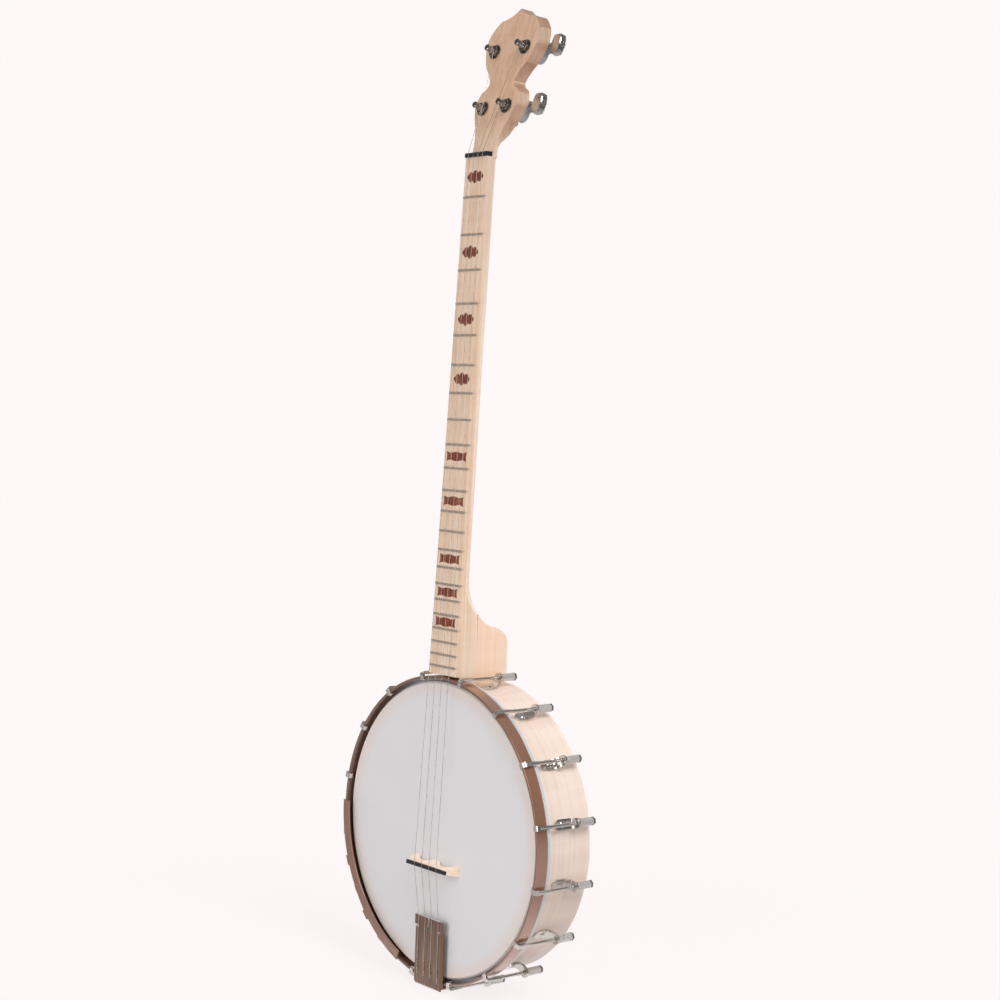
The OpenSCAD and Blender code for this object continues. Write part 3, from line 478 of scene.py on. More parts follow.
@dataclass(frozen=True)
class Wood(Finish):
    """Pale wood under a thin satin lacquer.

    Attributes:
        light, dark: The wood between its grain lines, and the lines.
        lie: Which way the grain runs.
        streak, curl: How strongly grain lines and curl show.
        coat: The lacquer's weight.
        plies: Radii of the glue lines between bent layers.
        end_grain_and_shade: The tint of faces that cut across the grain: end grain, and painted shade on the
            faces underneath.
        upper_shade: Painted shade: the tint that darkens the upper end, as if less light reached it.
    """

    GLUE = srgb(150, 104, 70)
    GLUE_EDGE = (0.45 * MM, 0.15 * MM)
    GLUE_SHARE = 0.55
    UPPER_SHADE_HEIGHT = (-25 * MM, 45 * MM)
    SIDEWAYS = (0.65, 1.0)
    UPPER_SHADE_SIDES = 0.5
    TOP_CUT = (0.31, 0.55)
    UNDER_CUT = (-0.05, -0.32)
    BACK_LIMIT = (0.7, 0.3)
    EDGE_RADIUS = 0.5 * MM
    GRAIN_BUMP = (0.10, 0.2 * MM)
    COAT_ROUGHNESS = 0.25

    light: Colour
    dark: Colour
    lie: GrainLie = GrainLie.UP
    streak: float = 0.6
    curl: float = 0.10
    coat: float = 0.8
    plies: Tuple[float, ...] = ()
    end_grain_and_shade: Optional[Colour] = None
    upper_shade: Optional[Colour] = None

    def fill(self, graph: MaterialGraph) -> None:
        """Joins grain, glue lines, painted shade on the upper end, and end grain partly painted as shade, to
        the shader.

        Args:
            graph: The material's nodes.
        """
        if self.lie is GrainLie.ROUND_DRUM:
            grain_place = graph.effect(Effect.DRUM)["Place"]
        else:
            turned = {"Vector": graph.place, "Rotation": self.lie.value}
            grain_place = graph.add("Mapping", turned).outputs[0]
        grain = graph.effect(Effect.GRAIN, place=grain_place, light=self.light, dark=self.dark,
                             streak=self.streak, curl=self.curl)
        colour = grain["Color"]
        for ply in self.plies:
            gap = graph.math("ABSOLUTE", graph.math("SUBTRACT", graph.parts(grain_place)["X"], ply))
            colour = graph.mix(graph.ramp(gap, *self.GLUE_EDGE, 0.0, self.GLUE_SHARE), colour, self.GLUE)
        # Painted shade: the upper end is darkened as if less light reached it.
        if self.upper_shade:
            colour = graph.mix(self.upper_shade_mask(graph), colour, self.upper_shade, "MULTIPLY")
        # End grain, partly painted shade: faces underneath are darkened as if shaded.
        if self.end_grain_and_shade:
            colour = graph.mix(self.end_grain_and_shade_mask(graph), colour, self.end_grain_and_shade, "MULTIPLY")
        edges = graph.effect(Effect.EDGES, radius=self.EDGE_RADIUS)
        graph.join(graph.shader, {
            "Base Color": colour, "Roughness": grain["Roughness"],
            "Normal": graph.bump(grain["Height"], *self.GRAIN_BUMP, edges["Normal"]),
            "Coat Weight": self.coat, "Coat Roughness": self.COAT_ROUGHNESS})

    def upper_shade_mask(self, graph: MaterialGraph) -> Socket:
        """Returns a mask of painted shade on the upper end, fainter on its sides."""
        sideways = graph.math("ABSOLUTE", graph.facing()["X"])
        return graph.math("MULTIPLY", graph.ramp(graph.parts(graph.place)["Z"], *self.UPPER_SHADE_HEIGHT),
                          graph.ramp(sideways, *self.SIDEWAYS, 1.0, self.UPPER_SHADE_SIDES))

    def end_grain_and_shade_mask(self, graph: Graph) -> Socket:
        """Returns a mask of the faces that cut across the grain, on top and underneath but not behind; on
        the faces underneath it is also painted shade.
        """
        facing = graph.facing()
        return graph.math("MULTIPLY", graph.ramp(facing["Y"], *self.BACK_LIMIT), graph.math(
            "MAXIMUM", graph.ramp(facing["Z"], *self.TOP_CUT), graph.ramp(facing["Z"], *self.UNDER_CUT)))


@dataclass(frozen=True)
class Metal(Finish):
    """Plated or bare metal with handling marks and rubbed edges.

    Attributes:
        colour, rubbed: The metal, and its edges where hands rub them.
        rough, spread: Its roughness, and how far handling adds to it.
        edge: The radius of its edges.
        metallic: How far it shines as metal and not as paint.
        lacquer, gloss: The clear coat's weight and its refraction.
        inner_shade: Painted shade: what is left of its colour inside the hoop's outer wall.
        ripple, streaks: How strongly ripples and buffed streaks show.
        shaded_tip: How far back a dark end reaches: painted shade that stands in for the dark hole at a
            nut's end.
        lit_slot: The half width and the depth within which cut edges get painted light, a pale colour that
            stands in for light in the slot.
    """

    SMEAR_SHARE = 0.16
    SMEAR_SHADE = 0.7
    RUB_SHARE = 0.6
    INNER_WALL = (Layout.hoop_outer - 0.3 * MM, Layout.hoop_outer - 1.2 * MM)
    SLOT_LIGHT = srgb(244, 240, 236)
    CUT_FACING = (0.6, 0.4)
    WIDTH_FADE = 0.5 * MM
    DEPTH_FADE = 0.2 * MM
    TIP_START = 2.8 * MM
    TIP_FULL = 1.6 * MM
    TIP_SHADE = 0.22
    RIPPLE_DEPTH = 2 * MM
    COAT_ROUGHNESS = 0.15

    colour: Colour
    rubbed: Colour
    rough: float = 0.18
    spread: float = 0.12
    edge: float = 0.25 * MM
    metallic: float = 1.0
    lacquer: float = 0.0
    gloss: float = 1.8
    inner_shade: float = 1.0
    ripple: float = 0.0
    streaks: float = 0.0
    shaded_tip: Optional[float] = None
    lit_slot: Optional[Pair] = None

    def fill(self, graph: MaterialGraph) -> None:
        """Joins marks, streaks, ripples, rubbed edges, painted shade inside the hoop and at dark tips, and
        painted light on cut edges to the shader.

        Args:
            graph: The material's nodes.
        """
        marks = graph.effect(Effect.HANDLING, rough=self.rough, spread=self.spread)
        edges = graph.effect(Effect.EDGES, radius=self.edge)
        smears = graph.math("MULTIPLY", marks["Smear"], self.SMEAR_SHARE)
        colour = graph.mix(smears, self.colour, shade(self.colour, self.SMEAR_SHADE))
        if self.streaks:
            buffed = graph.pattern(graph.place, Patterns.buffing, end=self.streaks)
            colour = graph.mix(buffed, colour, self.rubbed)
        colour = graph.mix(graph.math("MULTIPLY", edges["Mask"], self.RUB_SHARE), colour, self.rubbed)
        # Painted shade: the hoop is darkened inside its outer wall, as if in shade.
        if self.inner_shade < 1.0:
            radius = graph.effect(Effect.DRUM)["Radius"]
            colour = graph.mix(graph.ramp(radius, *self.INNER_WALL), colour, (self.inner_shade,) * 3, "MULTIPLY")
        # Painted light: cut edges near the middle are made pale as if lit.
        if self.lit_slot:
            colour = graph.mix(self.slot_light_mask(graph), colour, self.SLOT_LIGHT)
        # Painted shade: the end is darkened as if the hole in it were in shade.
        if self.shaded_tip is not None:
            depth = graph.parts(graph.place)["Y"]
            dark = graph.ramp(depth, self.shaded_tip - self.TIP_START, self.shaded_tip - self.TIP_FULL)
            colour = graph.mix(dark, colour, shade(self.colour, self.TIP_SHADE))
        normal = edges["Normal"]
        if self.ripple:
            ripples = graph.pattern(graph.place, Patterns.ripples)
            normal = graph.bump(ripples, self.ripple, self.RIPPLE_DEPTH, normal)
        graph.join(graph.shader, {
            "Base Color": colour, "Roughness": marks["Roughness"], "Normal": normal,
            "Metallic": self.metallic, "Coat Weight": self.lacquer,
            "Coat Roughness": self.COAT_ROUGHNESS, "Coat IOR": self.gloss})

    def slot_light_mask(self, graph: MaterialGraph) -> Socket:
        """Finds the cut edges of a plate that faces the front, which get painted light.

        Args:
            graph: The material's nodes.

        Returns:
            The mask.
        """
        half_width, depth = self.lit_slot
        parts = graph.parts(graph.place)
        edge_on = graph.ramp(graph.math("ABSOLUTE", graph.facing()["Y"]), *self.CUT_FACING)
        within = graph.ramp(graph.math("ABSOLUTE", parts["X"]), half_width + self.WIDTH_FADE, half_width)
        ahead = graph.ramp(parts["Y"], depth + self.DEPTH_FADE, depth)
        return graph.math("MULTIPLY", graph.math("MULTIPLY", edge_on, within), ahead)


@dataclass(frozen=True)
class Moulded(Finish):
    """Hard composite, speckled and worn at its edges."""

    MARKS = 0.16
    EDGE_RADIUS = 0.35 * MM
    SPECKLE_SHARE = 0.35
    WORN_SHARE = 0.5

    colour: Colour
    worn: Colour
    rough: float = 0.38

    def fill(self, graph: MaterialGraph) -> None:
        """Joins speckle and rubbed edges to the shader.

        Args:
            graph: The material's nodes.
        """
        marks = graph.effect(Effect.HANDLING, rough=self.rough, spread=self.MARKS)
        edges = graph.effect(Effect.EDGES, radius=self.EDGE_RADIUS)
        speckle = graph.pattern(graph.place, Patterns.speckle, end=self.SPECKLE_SHARE)
        colour = graph.mix(speckle, self.colour, self.worn)
        colour = graph.mix(graph.math("MULTIPLY", edges["Mask"], self.WORN_SHARE), colour, self.worn)
        graph.join(graph.shader, {
            "Base Color": colour, "Roughness": marks["Roughness"], "Normal": edges["Normal"]})


@dataclass(frozen=True)
class Inlay(Finish):
    """Thin dark red-brown wood let in flush, with its fibres showing."""

    STREAK = 1.25
    CURL = 0.15
    GRAIN_BUMP = (0.2, 0.2 * MM)
    SPECULAR = 0.15

    light: Colour
    dark: Colour

    def fill(self, graph: MaterialGraph) -> None:
        """Joins streaks and pores to the shader.

        Args:
            graph: The material's nodes.
        """
        grain = graph.effect(Effect.GRAIN, light=self.light, dark=self.dark,
                             streak=self.STREAK, curl=self.CURL)
        colour = graph.mix(graph.pattern(graph.place, Patterns.dark_streaks), grain["Color"], self.dark)
        graph.join(graph.shader, {
            "Base Color": colour, "Roughness": grain["Roughness"],
            "Normal": graph.bump(grain["Height"], *self.GRAIN_BUMP), "Specular IOR Level": self.SPECULAR})


@dataclass(frozen=True)
class Film(Finish):
    """Frosted drum head: the wooden rim warms it where it passes over the edge."""

    BORDER = (Layout.rim_inner - 5 * MM, Layout.rim_inner + 9 * MM)
    CLOUD_SHARE = 0.35
    CLOUD_SHADE = 0.95
    FROST_BUMP = (0.12, 0.1 * MM)
    FROST_ROUGHNESS = (0.42, 0.58)

    colour: Colour
    over_rim: Colour

    def fill(self, graph: MaterialGraph) -> None:
        """Joins the frosting and the warm border to the shader.

        Args:
            graph: The material's nodes.
        """
        radius = graph.effect(Effect.DRUM)["Radius"]
        frost = graph.pattern(graph.place, Patterns.frost)
        clouds = graph.pattern(graph.place, Patterns.clouds, end=self.CLOUD_SHARE)
        colour = graph.mix(graph.ramp(radius, *self.BORDER), self.colour, self.over_rim)
        colour = graph.mix(clouds, colour, shade(self.colour, self.CLOUD_SHADE))
        graph.join(graph.shader, {
            "Base Color": colour, "Roughness": graph.roughness(frost, self.FROST_ROUGHNESS),
            "Normal": graph.bump(frost, *self.FROST_BUMP)})


class Finishes:
    """The finishes of this instrument."""

    # The neck's upper end gets painted shade, and its faces underneath are darkened partly as painted shade.
    neck = Wood("neck_maple", srgb(252, 228, 206), srgb(228, 186, 152), streak=0.9, coat=0.6,
                end_grain_and_shade=(0.76, 0.65, 0.60), upper_shade=(0.83, 0.72, 0.64))
    heel = Wood("heel_maple", srgb(255, 223, 196), srgb(241, 193, 156))
    rim = Wood("rim_maple", srgb(252, 234, 222), srgb(238, 206, 184), GrainLie.ROUND_DRUM, streak=0.55,
               curl=0.2, coat=0.45, plies=(130.4 * MM, 134.7 * MM))
    bridge = Wood("bridge_maple", srgb(254, 234, 215), srgb(246, 210, 181), GrainLie.ACROSS, coat=0.0)
    inlay = Inlay("inlay_rosewood", srgb(182, 112, 88), srgb(112, 62, 48))
    tension_hoop = Metal("bronze_plate", srgb(170, 119, 91), srgb(70, 48, 38), rough=0.28, metallic=0.5,
                         lacquer=1.0, gloss=2.1, inner_shade=0.5)
    armrest = Metal("armrest_bronze", srgb(156, 119, 99), srgb(186, 152, 128), rough=0.40, metallic=0.4,
                    lacquer=0.5)
    tailpiece = Metal("rippled_bronze", srgb(114, 82, 63), srgb(172, 138, 112), rough=0.30, metallic=0.6,
                      lacquer=0.4, ripple=0.5, streaks=0.6,
                      lit_slot=(17 * MM, Layout.drum().translation.y + Layout.tail_back))
    flesh_hoop = Metal("flesh_hoop_satin", srgb(222, 226, 232), srgb(240, 240, 240), rough=0.42, spread=0.1,
                       metallic=0.35)
    button = Metal("nickel_plate", srgb(214, 211, 206), srgb(236, 233, 228), rough=0.09)
    post = Metal("polished_nickel", srgb(160, 156, 152), srgb(220, 217, 212), rough=0.06, spread=0.08)
    casing = Metal("tuner_casing", srgb(196, 198, 204), srgb(220, 220, 222), rough=0.30, spread=0.1,
                   metallic=0.55)
    bracket = Metal("bracket_nickel", srgb(214, 209, 203), srgb(236, 233, 228), rough=0.10, metallic=0.92)
    bracket_nut = Metal("nut_nickel", srgb(220, 216, 212), srgb(240, 237, 232), rough=0.22, spread=0.14,
                        metallic=0.55, shaded_tip=Layout.drum().translation.y + Layout.nut_end)
    fret = Metal("fret_wire", srgb(192, 177, 164), srgb(222, 210, 198), rough=0.34, metallic=0.6)
    worm_wheel = Metal("gear_brass", srgb(196, 158, 92), srgb(226, 196, 136), rough=0.28)
    string = Metal("string_steel", srgb(206, 196, 188), srgb(220, 210, 202), rough=0.22, metallic=0.9)
    black = Moulded("black_composite", srgb(24, 24, 28), srgb(58, 55, 54))
    film = Film("frosted_head", srgb(234, 232, 234), srgb(236, 224, 217))


class Workshop:
    """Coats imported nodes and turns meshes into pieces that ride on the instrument."""

    WELD = 1e-6

    def __init__(self) -> None:
        """Starts with no materials made."""
        self.effects = EffectLibrary()
        self.made: Dict[str, Material] = {}

    def material(self, finish: Finish) -> Material:
        """Makes a finish's material once.

        Args:
            finish: The finish.

        Returns:
            The material.
        """
        if finish.name not in self.made:
            self.made[finish.name] = bpy.data.materials.new(finish.name)
            finish.fill(MaterialGraph(self.made[finish.name], self.effects))
        return self.made[finish.name]

    def coat(self, finish: Finish, *nodes: str) -> None:
        """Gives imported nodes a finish.

        Args:
            finish: The finish.
            nodes: The nodes' names.
        """
        for name in nodes:
            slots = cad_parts[name].data.materials
            slots.clear()
            slots.append(self.material(finish))
            LOG.info("%s: %s", name, finish.name)

    def piece(self, name: str, mesh: bmesh.types.BMesh, finish: Finish, body: str, slot: str,
              replaces: Sequence[str] = (), sharp: float = 40.0) -> None:
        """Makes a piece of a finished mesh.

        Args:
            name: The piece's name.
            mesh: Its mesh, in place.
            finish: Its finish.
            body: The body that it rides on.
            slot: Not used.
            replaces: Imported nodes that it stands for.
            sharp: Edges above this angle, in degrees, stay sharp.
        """
        bmesh.ops.remove_doubles(mesh, verts=mesh.verts, dist=self.WELD)
        bmesh.ops.recalc_face_normals(mesh, faces=mesh.faces)
        data = bpy.data.meshes.new(name)
        mesh.to_mesh(data)
        mesh.free()
        data.shade_smooth()
        data.set_sharp_from_angle(angle=math.radians(sharp))
        data.materials.append(self.material(finish))
        made = show(name, data)
        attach(made, body)
        if replaces:
            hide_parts(*replaces)
        LOG.info("%s: %d faces on %s", name, len(data.polygons), body)


def sweep(mesh: bmesh.types.BMesh, path: Sequence[Vector], radius: float, sides: int = 10) -> None:
    """Extrudes a ring along a path and closes its ends.

    Args:
        mesh: The mesh that gets the tube.
        path: The points to follow.
        radius: The tube's radius.
        sides: Its sides.
    """
    ring = bmesh.ops.create_circle(mesh, cap_ends=True, radius=radius, segments=sides)["verts"]
    first = (path[1] - path[0]).normalized()
    frame = Matrix.Translation(path[0]) @ first.to_track_quat("Z", "X").to_matrix().to_4x4()
    bmesh.ops.transform(mesh, matrix=frame, verts=ring)
    edges = list({edge for vert in ring for edge in vert.link_edges})
    last = first
    for index in range(1, len(path)):
        before = path[index] - path[index - 1]
        after = path[index + 1] - path[index] if index + 1 < len(path) else before
        along = (before.normalized() + after.normalized()).normalized()
        turn = last.rotation_difference(along).to_matrix().to_4x4()
        move = Matrix.Translation(path[index]) @ turn @ Matrix.Translation(-path[index - 1])
        grown = bmesh.ops.extrude_edge_only(mesh, edges=edges)["geom"]
        verts = [part for part in grown if isinstance(part, bmesh.types.BMVert)]
        edges = [part for part in grown if isinstance(part, bmesh.types.BMEdge)
                 and part.verts[0] in verts and part.verts[1] in verts]
        bmesh.ops.transform(mesh, matrix=move, verts=verts)
        last = along
    bmesh.ops.contextual_create(mesh, geom=edges)


@dataclass(frozen=True)
class Coil:
    """A wire that winds about a frame's Y axis.

    Attributes:
        radius, wire: The radius of the coil and of its wire.
        start, end: Where it starts and ends along Y.
        turns: How often it goes round.
        steps, sides: Points a turn, and the wire's sides.
    """

    radius: float
    wire: float
    start: float
    end: float
    turns: float
    steps: int
    sides: int

    def wind(self, mesh: bmesh.types.BMesh, frame: Matrix) -> None:
        """Adds the coil to a mesh.

        Args:
            mesh: The mesh.
            frame: The frame that it winds about.
        """
        count = int(self.turns * self.steps)
        path = []
        for index in range(count + 1):
            share = index / count
            angle = 2 * math.pi * self.turns * share
            along = self.start + (self.end - self.start) * share
            point = Vector((self.radius * math.cos(angle), along, self.radius * math.sin(angle)))
            path.append(frame @ point)
        sweep(mesh, path, self.wire, self.sides)


@dataclass
class Neck:
    """Neck, heel, frets, nut and inlays."""

    shop: Workshop

    def dress(self) -> None:
        """Gives the neck's nodes their finishes."""
        self.shop.coat(Finishes.neck, "neck")
        self.shop.coat(Finishes.heel, "heel_block")
        self.shop.coat(Finishes.fret, "frets")
        self.shop.coat(Finishes.black, "nut")
        self.shop.coat(Finishes.inlay, "oval_inlays", "bowtie_inlays")


@dataclass
class Drum:
    """Rim, head, hoops, brackets, bridge, tailpiece and armrest."""

    shop: Workshop
    brackets: int = 16
    first_hook: float = 0.5
    hook_radius: float = 148.6 * MM
    thread: Coil = Coil(radius=1.57 * MM, wire=0.2 * MM, start=32.0 * MM, end=41.3 * MM, turns=11.625,
                        steps=12, sides=4)
    thread_sharp: float = 80.0

    def dress(self) -> None:
        """Gives the drum's nodes their finishes."""
        self.shop.coat(Finishes.rim, "rim")
        self.shop.coat(Finishes.film, "head_film")
        self.shop.coat(Finishes.flesh_hoop, "flesh_hoop")
        self.shop.coat(Finishes.tension_hoop, "tension_hoop")
        self.shop.coat(Finishes.armrest, "armrest", "armrest_clamps")
        self.shop.coat(Finishes.tailpiece, "tailpiece")
        self.shop.coat(Finishes.bracket, "bracket_hooks", "bracket_shoes", "shoe_bolts", "shoe_washers",
                       "tailpiece_bolt", "tailpiece_nut", "armrest_screws", "neck_bolts", "neck_washers")
        self.shop.coat(Finishes.bracket_nut, "bracket_nuts")
        self.shop.coat(Finishes.bridge, "bridge_body")
        self.shop.coat(Finishes.black, "bridge_top")

    def build_threads(self) -> None:
        """Cuts the hooks' screw threads where they show."""
        mesh = bmesh.new()
        for index in range(self.brackets):
            turn = Matrix.Rotation(2 * math.pi * (index + self.first_hook) / self.brackets, 4, "Y")
            self.thread.wind(mesh, Layout.drum() @ turn @ Matrix.Translation((0, 0, self.hook_radius)))
        self.shop.piece("hook_threads", mesh, Finishes.bracket, "frame", "nickel", sharp=self.thread_sharp)


@dataclass
class Tuners:
    """Four geared tuners."""

    shop: Workshop

    def dress(self) -> None:
        """Gives the tuners' nodes their finishes."""
        self.shop.coat(Finishes.casing, "tuner_housings", "tuner_covers")
        self.shop.coat(Finishes.post, "tuner_bushings", "tuner_washers", "tuner_screws")
        for number in Layout.numbers():
            self.shop.coat(Finishes.post, f"tuner_post_{number}")
            self.shop.coat(Finishes.button, f"tuner_button_{number}", f"button_screw_{number}",
                           f"worm_shaft_{number}")
            self.shop.coat(Finishes.worm_wheel, f"worm_wheel_{number}")


@dataclass
class Strings:
    """Four strings from the tailpiece over bridge and nut to the posts, with their loops on the posts.

    Levels (y) and heights (z) are in the drum's frame, apart from those on nut and posts.
    """

    shop: Workshop
    radius: float = 0.25 * MM
    nut_spacing: float = 7 * MM
    bridge_spacing: float = 11 * MM
    tail_spacing: float = 10 * MM
    nut_y: float = -1.5 * MM
    nut_thick: float = 4.6 * MM
    bridge_y: float = -14.8 * MM
    bridge_z: float = -34.3 * MM
    bridge_half: float = 2 * MM
    tail_y: float = -8.45 * MM
    tail_top: float = -84.5 * MM
    slot_z: float = -140.0 * MM
    slot_y: float = -7.2 * MM
    hook_y: float = -5.2 * MM
    hook_drop: float = 1.4 * MM
    slot_rise: float = 3 * MM
    wind_radius: float = 2.95 * MM
    wind_level: float = -5.0 * MM
    wind_pitch: float = 1.0 * MM
    wind_loops: float = 3.25
    wind_steps: int = 40
    wind_sides: int = 8
    wind_end: float = 1.4 * MM
    twist: Coil = Coil(radius=0.38 * MM, wire=0.16 * MM, start=3.5 * MM, end=13.5 * MM, turns=11, steps=10,
                       sides=5)

    def across(self, number: int, spacing: float) -> float:
        """Returns a string's place across the instrument."""
        return ((Layout.strings + 1) / 2 - number) * spacing

    def contact(self, number: int) -> Tuple[Vector, float, Vector]:
        """Finds where a string meets its post, in the peghead's frame.

        Args:
            number: The string.

        Returns:
            The post's foot, the angle at which the string touches it, and the nut's edge.
        """
        side = Layout.side(number)
        flat = Layout.peghead().inverted() @ Layout.neck()
        edge = flat @ Vector((self.across(number, self.nut_spacing), self.nut_y, self.nut_thick))
        post = Layout.peghead().inverted() @ Layout.tuner(number).translation
        run = Vector((post.x - edge.x, post.z - edge.z))
        angle = math.atan2(run.y, run.x) + side * math.asin(self.wind_radius / run.length)
        return post, angle + side * math.pi / 2, edge

    def on_post(self, post: Vector, angle: float, radius: float, level: float) -> Vector:
        """Returns a point beside a post, in the peghead's frame."""
        return Vector((post.x + radius * math.cos(angle), level, post.z + radius * math.sin(angle)))

    def join(self, number: int) -> Vector:
        """Finds where a string's run ends and its loops start.

        Args:
            number: The string.

        Returns:
            The point, in the peghead's frame.
        """
        post, angle, edge = self.contact(number)
        touch = self.on_post(post, angle, self.wind_radius, self.wind_level)
        return touch - (touch - edge).normalized() * 2 * self.radius

    def build_run(self, number: int) -> None:
        """Makes one string from its tail slot to its post.

        Args:
            number: The string.
        """
        drum, neck = Layout.drum(), Layout.neck()
        tail = self.across(number, self.tail_spacing)
        bridge = self.across(number, self.bridge_spacing)
        nut = self.across(number, self.nut_spacing)
        path = [drum @ Vector(point) for point in (
            (tail, self.hook_y, self.slot_z - self.hook_drop),
            (tail, self.slot_y, self.slot_z),
            (tail, self.tail_y, self.slot_z + self.slot_rise),
            (tail, self.tail_y, self.tail_top),
            (bridge, self.bridge_y, self.bridge_z - self.bridge_half),
            (bridge, self.bridge_y, self.bridge_z + self.bridge_half))]
        path += [neck @ Vector((nut, self.nut_y, 0)), neck @ Vector((nut, self.nut_y, self.nut_thick))]
        path.append(Layout.peghead() @ self.join(number))
        mesh = bmesh.new()
        sweep(mesh, path, self.radius)
        self.shop.piece(f"string_run_{number}", mesh, Finishes.string, "frame", "string_steel",
                        [f"string_{number}"])

    def build_winding(self, number: int) -> None:
        """Makes the loops of one string on its post.

        Args:
            number: The string.
        """
        post, angle, _ = self.contact(number)
        round_post = -2 * math.pi * Layout.side(number)
        path = [self.join(number)]
        for index in range(int(self.wind_loops * self.wind_steps) + 1):
            loops = index / self.wind_steps
            level = self.wind_level - self.wind_pitch * loops
            path.append(self.on_post(post, angle + round_post * loops, self.wind_radius, level))
        path.append(self.on_post(post, angle + round_post * self.wind_loops, self.wind_end,
                                 self.wind_level - self.wind_pitch * self.wind_loops))
        mesh = bmesh.new()
        sweep(mesh, [Layout.peghead() @ point for point in path], self.radius, self.wind_sides)
        self.shop.piece(f"string_loops_{number}", mesh, Finishes.string, f"post_{number}", "string_steel",
                        [f"string_winding_{number}"])

    def build_loop_ends(self) -> None:
        """Twists each string's end back round itself above its tail slot."""
        mesh = bmesh.new()
        upright = Matrix.Rotation(math.pi / 2, 4, "X")
        for number in Layout.numbers():
            foot = Vector((self.across(number, self.tail_spacing), self.tail_y, self.slot_z))
            self.twist.wind(mesh, Layout.drum() @ Matrix.Translation(foot) @ upright)
        self.shop.piece("string_loop_ends", mesh, Finishes.string, "frame", "string_steel")

    def build(self) -> None:
        """Makes every string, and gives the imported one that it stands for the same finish."""
        for number in Layout.numbers():
            self.shop.coat(Finishes.string, f"string_{number}", f"string_winding_{number}")
            self.build_run(number)
            self.build_winding(number)
        self.build_loop_ends()


@dataclass(frozen=True)
class Lamp:
    """A soft lamp.

    Attributes:
        place, aim: Where it hangs and what it points at.
        panel: Its panel's width and height.
        power, spread: Its power in watts, and how wide it shines in degrees.
        glossy: Whether shiny pieces mirror it.
    """

    name: str
    place: Point
    aim: Point
    panel: Pair
    power: float
    spread: float = 180.0
    glossy: bool = True

    def hang(self) -> None:
        """Adds the lamp to the scene, out of the camera's own sight."""
        data = bpy.data.lights.new(self.name, "AREA")
        data.shape, data.energy = "RECTANGLE", self.power
        data.size, data.size_y = self.panel
        data.spread = math.radians(self.spread)
        lamp = show(self.name, data)
        lamp.location = self.place
        lamp.rotation_euler = (Vector(self.aim) - Vector(self.place)).to_track_quat("-Z", "Y").to_euler()
        lamp.visible_camera = False
        lamp.visible_glossy = self.glossy


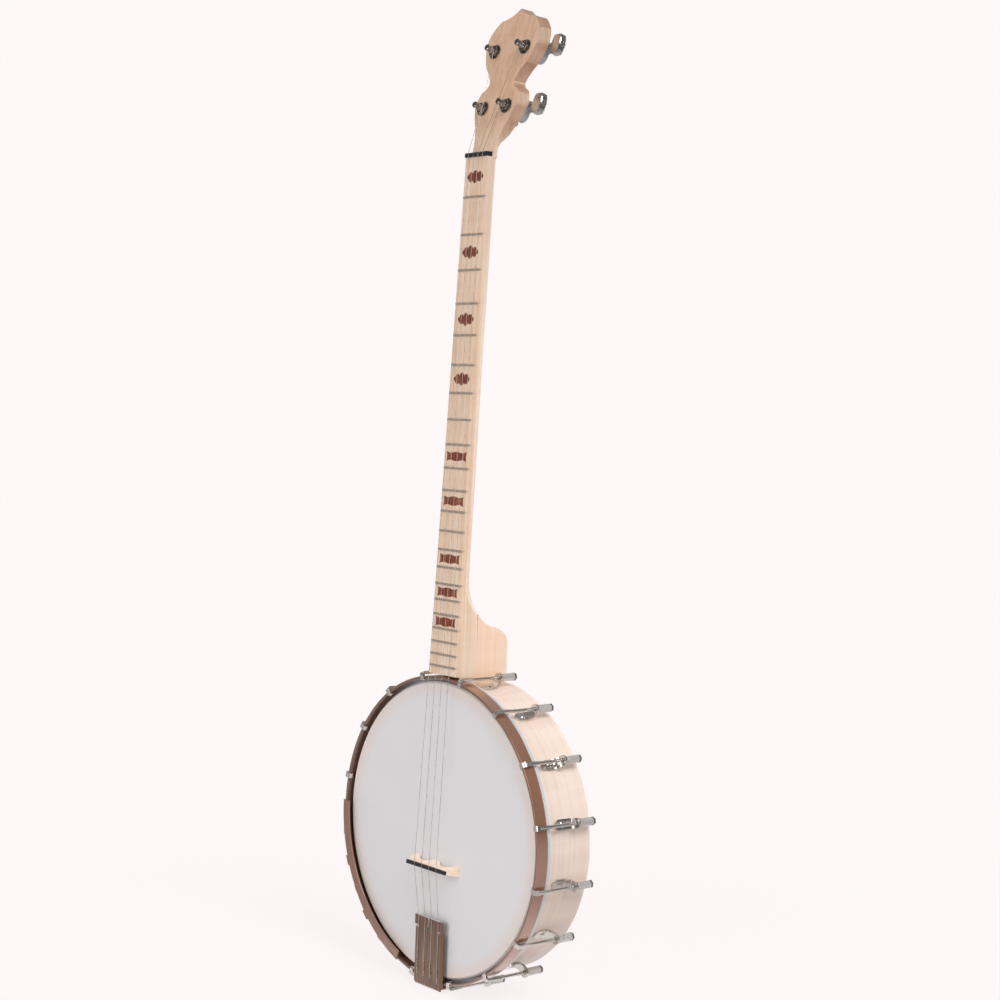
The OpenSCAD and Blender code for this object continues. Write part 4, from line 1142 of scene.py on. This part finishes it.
@dataclass
class Studio:
    """Pale floor, soft lights and the camera.

    Attributes:
        room, wall, ceiling: How bright the room and the wall are, and what the ceiling adds.
        dusk: What is left of that light in shiny pieces.
        wall_edge, ceiling_edge: Where wall and ceiling start and are full.
        mirror_edge, mirror_top: Where the mirrored backdrop fades upwards, and what is left of it.
        bounce: The share of light that the floor throws back.
        shadow, shadow_reach: How much of the shadow is kept, and where it fades.
        mirrored, mirror_reach: How much of the far floor shiny pieces show, and where it fades.
        eye, clip: The camera's place, and the nearest and farthest that it sees.
    """

    paper: Colour = srgb(254, 248, 248)
    room: float = 0.28
    wall: float = 0.35
    ceiling: float = 0.30
    dusk: float = 0.42
    wall_edge: Pair = (0.3, 0.75)
    ceiling_edge: Pair = (0.2, 0.9)
    mirror_edge: Pair = (0.25, 0.50)
    mirror_top: float = 0.25
    floor_size: float = 3.0
    floor_gap: float = 0.3 * MM
    bounce: float = 0.55
    shadow: float = 0.15
    shadow_reach: Pair = (0.25, 0.95)
    mirrored: float = 0.12
    mirror_reach: Pair = (0.14, 0.27)
    yaw: float = math.radians(49.657)
    pitch: float = math.radians(2.64)
    roll: float = math.radians(2.225)
    eye: Point = (1.4071, -1.15006, -0.23705)
    sensor: float = 36.0
    lens: float = 69.3255
    clip: Pair = (0.05, 50.0)
    lamps: Tuple[Lamp, ...] = (
        Lamp("key_panel", (1.50, -0.20, 0.90), (0.0, 0.0, -0.62), (0.9, 0.9), 2.2, 50.0),
        Lamp("back_panel", (0.75, 1.75, -0.55), (0.0, 0.0, -0.42), (1.0, 1.1), 11.2),
        Lamp("front_panel", (0.30, -1.93, -0.10), (0.0, 0.0, -0.35), (1.2, 1.6), 18.5),
        Lamp("glint_strip", (-1.45, -1.15, 0.55), (0.0, 0.0, -0.10), (0.12, 1.0), 0.7),
        Lamp("rear_panel", (-0.90, 1.90, 0.20), (0.0, 0.0, -0.35), (1.2, 1.6), 9.0, glossy=False),
    )

    def ahead(self) -> Vector:
        """Returns the way that the camera looks."""
        level = math.cos(self.pitch)
        return Vector((-math.sin(self.yaw) * level, math.cos(self.yaw) * level, -math.sin(self.pitch)))

    def build_world(self) -> None:
        """Makes a dim room with a lit ceiling and, behind the instrument, a white backdrop."""
        world = bpy.data.worlds.new("studio")
        bpy.context.scene.world = world
        graph = Graph(bare_tree(world))
        way = graph.add("TexCoord").outputs["Generated"]
        along = graph.add("VectorMath", {0: way, 1: self.ahead()}, operation="DOT_PRODUCT").outputs["Value"]
        behind = graph.ramp(along, *self.wall_edge)
        rise = graph.parts(way)["Z"]
        above = graph.ramp(rise, *self.ceiling_edge, 0.0, self.ceiling)
        level = graph.math("ADD", above, graph.ramp(behind, 0.0, 1.0, self.room, self.wall))
        ray = graph.add("LightPath").outputs
        level = graph.math("MULTIPLY", level, graph.ramp(ray["Is Glossy Ray"], 0.0, 1.0, 1.0, self.dusk))
        bent = graph.math("MAXIMUM", ray["Is Glossy Ray"], ray["Is Transmission Ray"])
        mirrored = graph.math("MULTIPLY", bent, graph.ramp(rise, *self.mirror_edge, 1.0, self.mirror_top))
        shown = graph.math("MAXIMUM", ray["Is Camera Ray"], graph.math("MULTIPLY", mirrored, behind))
        light = graph.add("Background", {"Color": (1.0, 1.0, 1.0), "Strength": level})
        paper = graph.add("Background", {"Color": self.paper, "Strength": 1.0})
        mixed = graph.add("MixShader", {0: shown, 1: light.outputs[0], 2: paper.outputs[0]})
        graph.add("OutputWorld", {0: mixed.outputs[0]})

    def floor_paper(self) -> Material:
        """Makes paper that keeps a faint shadow near the instrument and fades into the backdrop.

        Returns:
            The material.
        """
        made = bpy.data.materials.new("floor_paper")
        graph = Graph(bare_tree(made))
        parts = graph.parts(graph.add("TexCoord").outputs["Object"])
        away = graph.distance(parts["X"], parts["Y"])
        ray = graph.add("LightPath").outputs
        shown = graph.ramp(away, *self.shadow_reach, 1.0 - self.shadow, 1.0)
        mirrored = graph.ramp(away, *self.mirror_reach, 1.0, self.mirrored)
        seen = graph.total((shown, ray["Is Camera Ray"]), (mirrored, ray["Is Glossy Ray"]))
        lit = graph.mix(ray["Is Camera Ray"], shade(self.paper, self.bounce), self.paper)
        near = graph.add("BsdfDiffuse", {"Color": lit})
        paper = graph.add("Emission", {"Color": self.paper, "Strength": 1.0})
        mixed = graph.add("MixShader", {0: seen, 1: near.outputs[0], 2: paper.outputs[0]})
        graph.add("OutputMaterial", {0: mixed.outputs[0]})
        return made

    def build_floor(self) -> None:
        """Lays the pale floor just below the instrument."""
        mesh = bmesh.new()
        bmesh.ops.create_grid(mesh, x_segments=1, y_segments=1, size=self.floor_size)
        bmesh.ops.translate(mesh, vec=(0, 0, CAD_BOX[0].z - self.floor_gap), verts=mesh.verts)
        data = bpy.data.meshes.new("floor")
        mesh.to_mesh(data)
        mesh.free()
        data.materials.append(self.floor_paper())
        floor = show("floor", data)

    def build_camera(self) -> None:
        """Sets the camera where the photograph was taken from."""
        ahead = self.ahead()
        right = Vector((math.cos(self.yaw), math.sin(self.yaw), 0.0))
        up = right.cross(ahead)
        tilted_right = math.cos(self.roll) * right + math.sin(self.roll) * up
        tilted_up = math.cos(self.roll) * up - math.sin(self.roll) * right
        data = bpy.data.cameras.new("camera")
        data.sensor_width, data.lens = self.sensor, self.lens
        data.clip_start, data.clip_end = self.clip
        camera = show("camera", data)
        camera.matrix_world = Matrix((tilted_right, tilted_up, -ahead)).transposed().to_4x4()
        camera.location = self.eye
        bpy.context.scene.camera = camera

    def build(self) -> None:
        """Builds the whole studio."""
        bpy.context.scene.view_settings.view_transform = "Standard"
        self.build_world()
        self.build_floor()
        for lamp in self.lamps:
            lamp.hang()
        self.build_camera()


def main() -> None:
    """Builds the sub-assemblies in order."""
    logging.basicConfig(level=logging.INFO, format="%(name)s %(message)s")
    shop = Workshop()
    Studio().build()
    Neck(shop).dress()
    drum = Drum(shop)
    drum.dress()
    drum.build_threads()
    Tuners(shop).dress()
    Strings(shop).build()


if __name__ == "__main__":
    main()
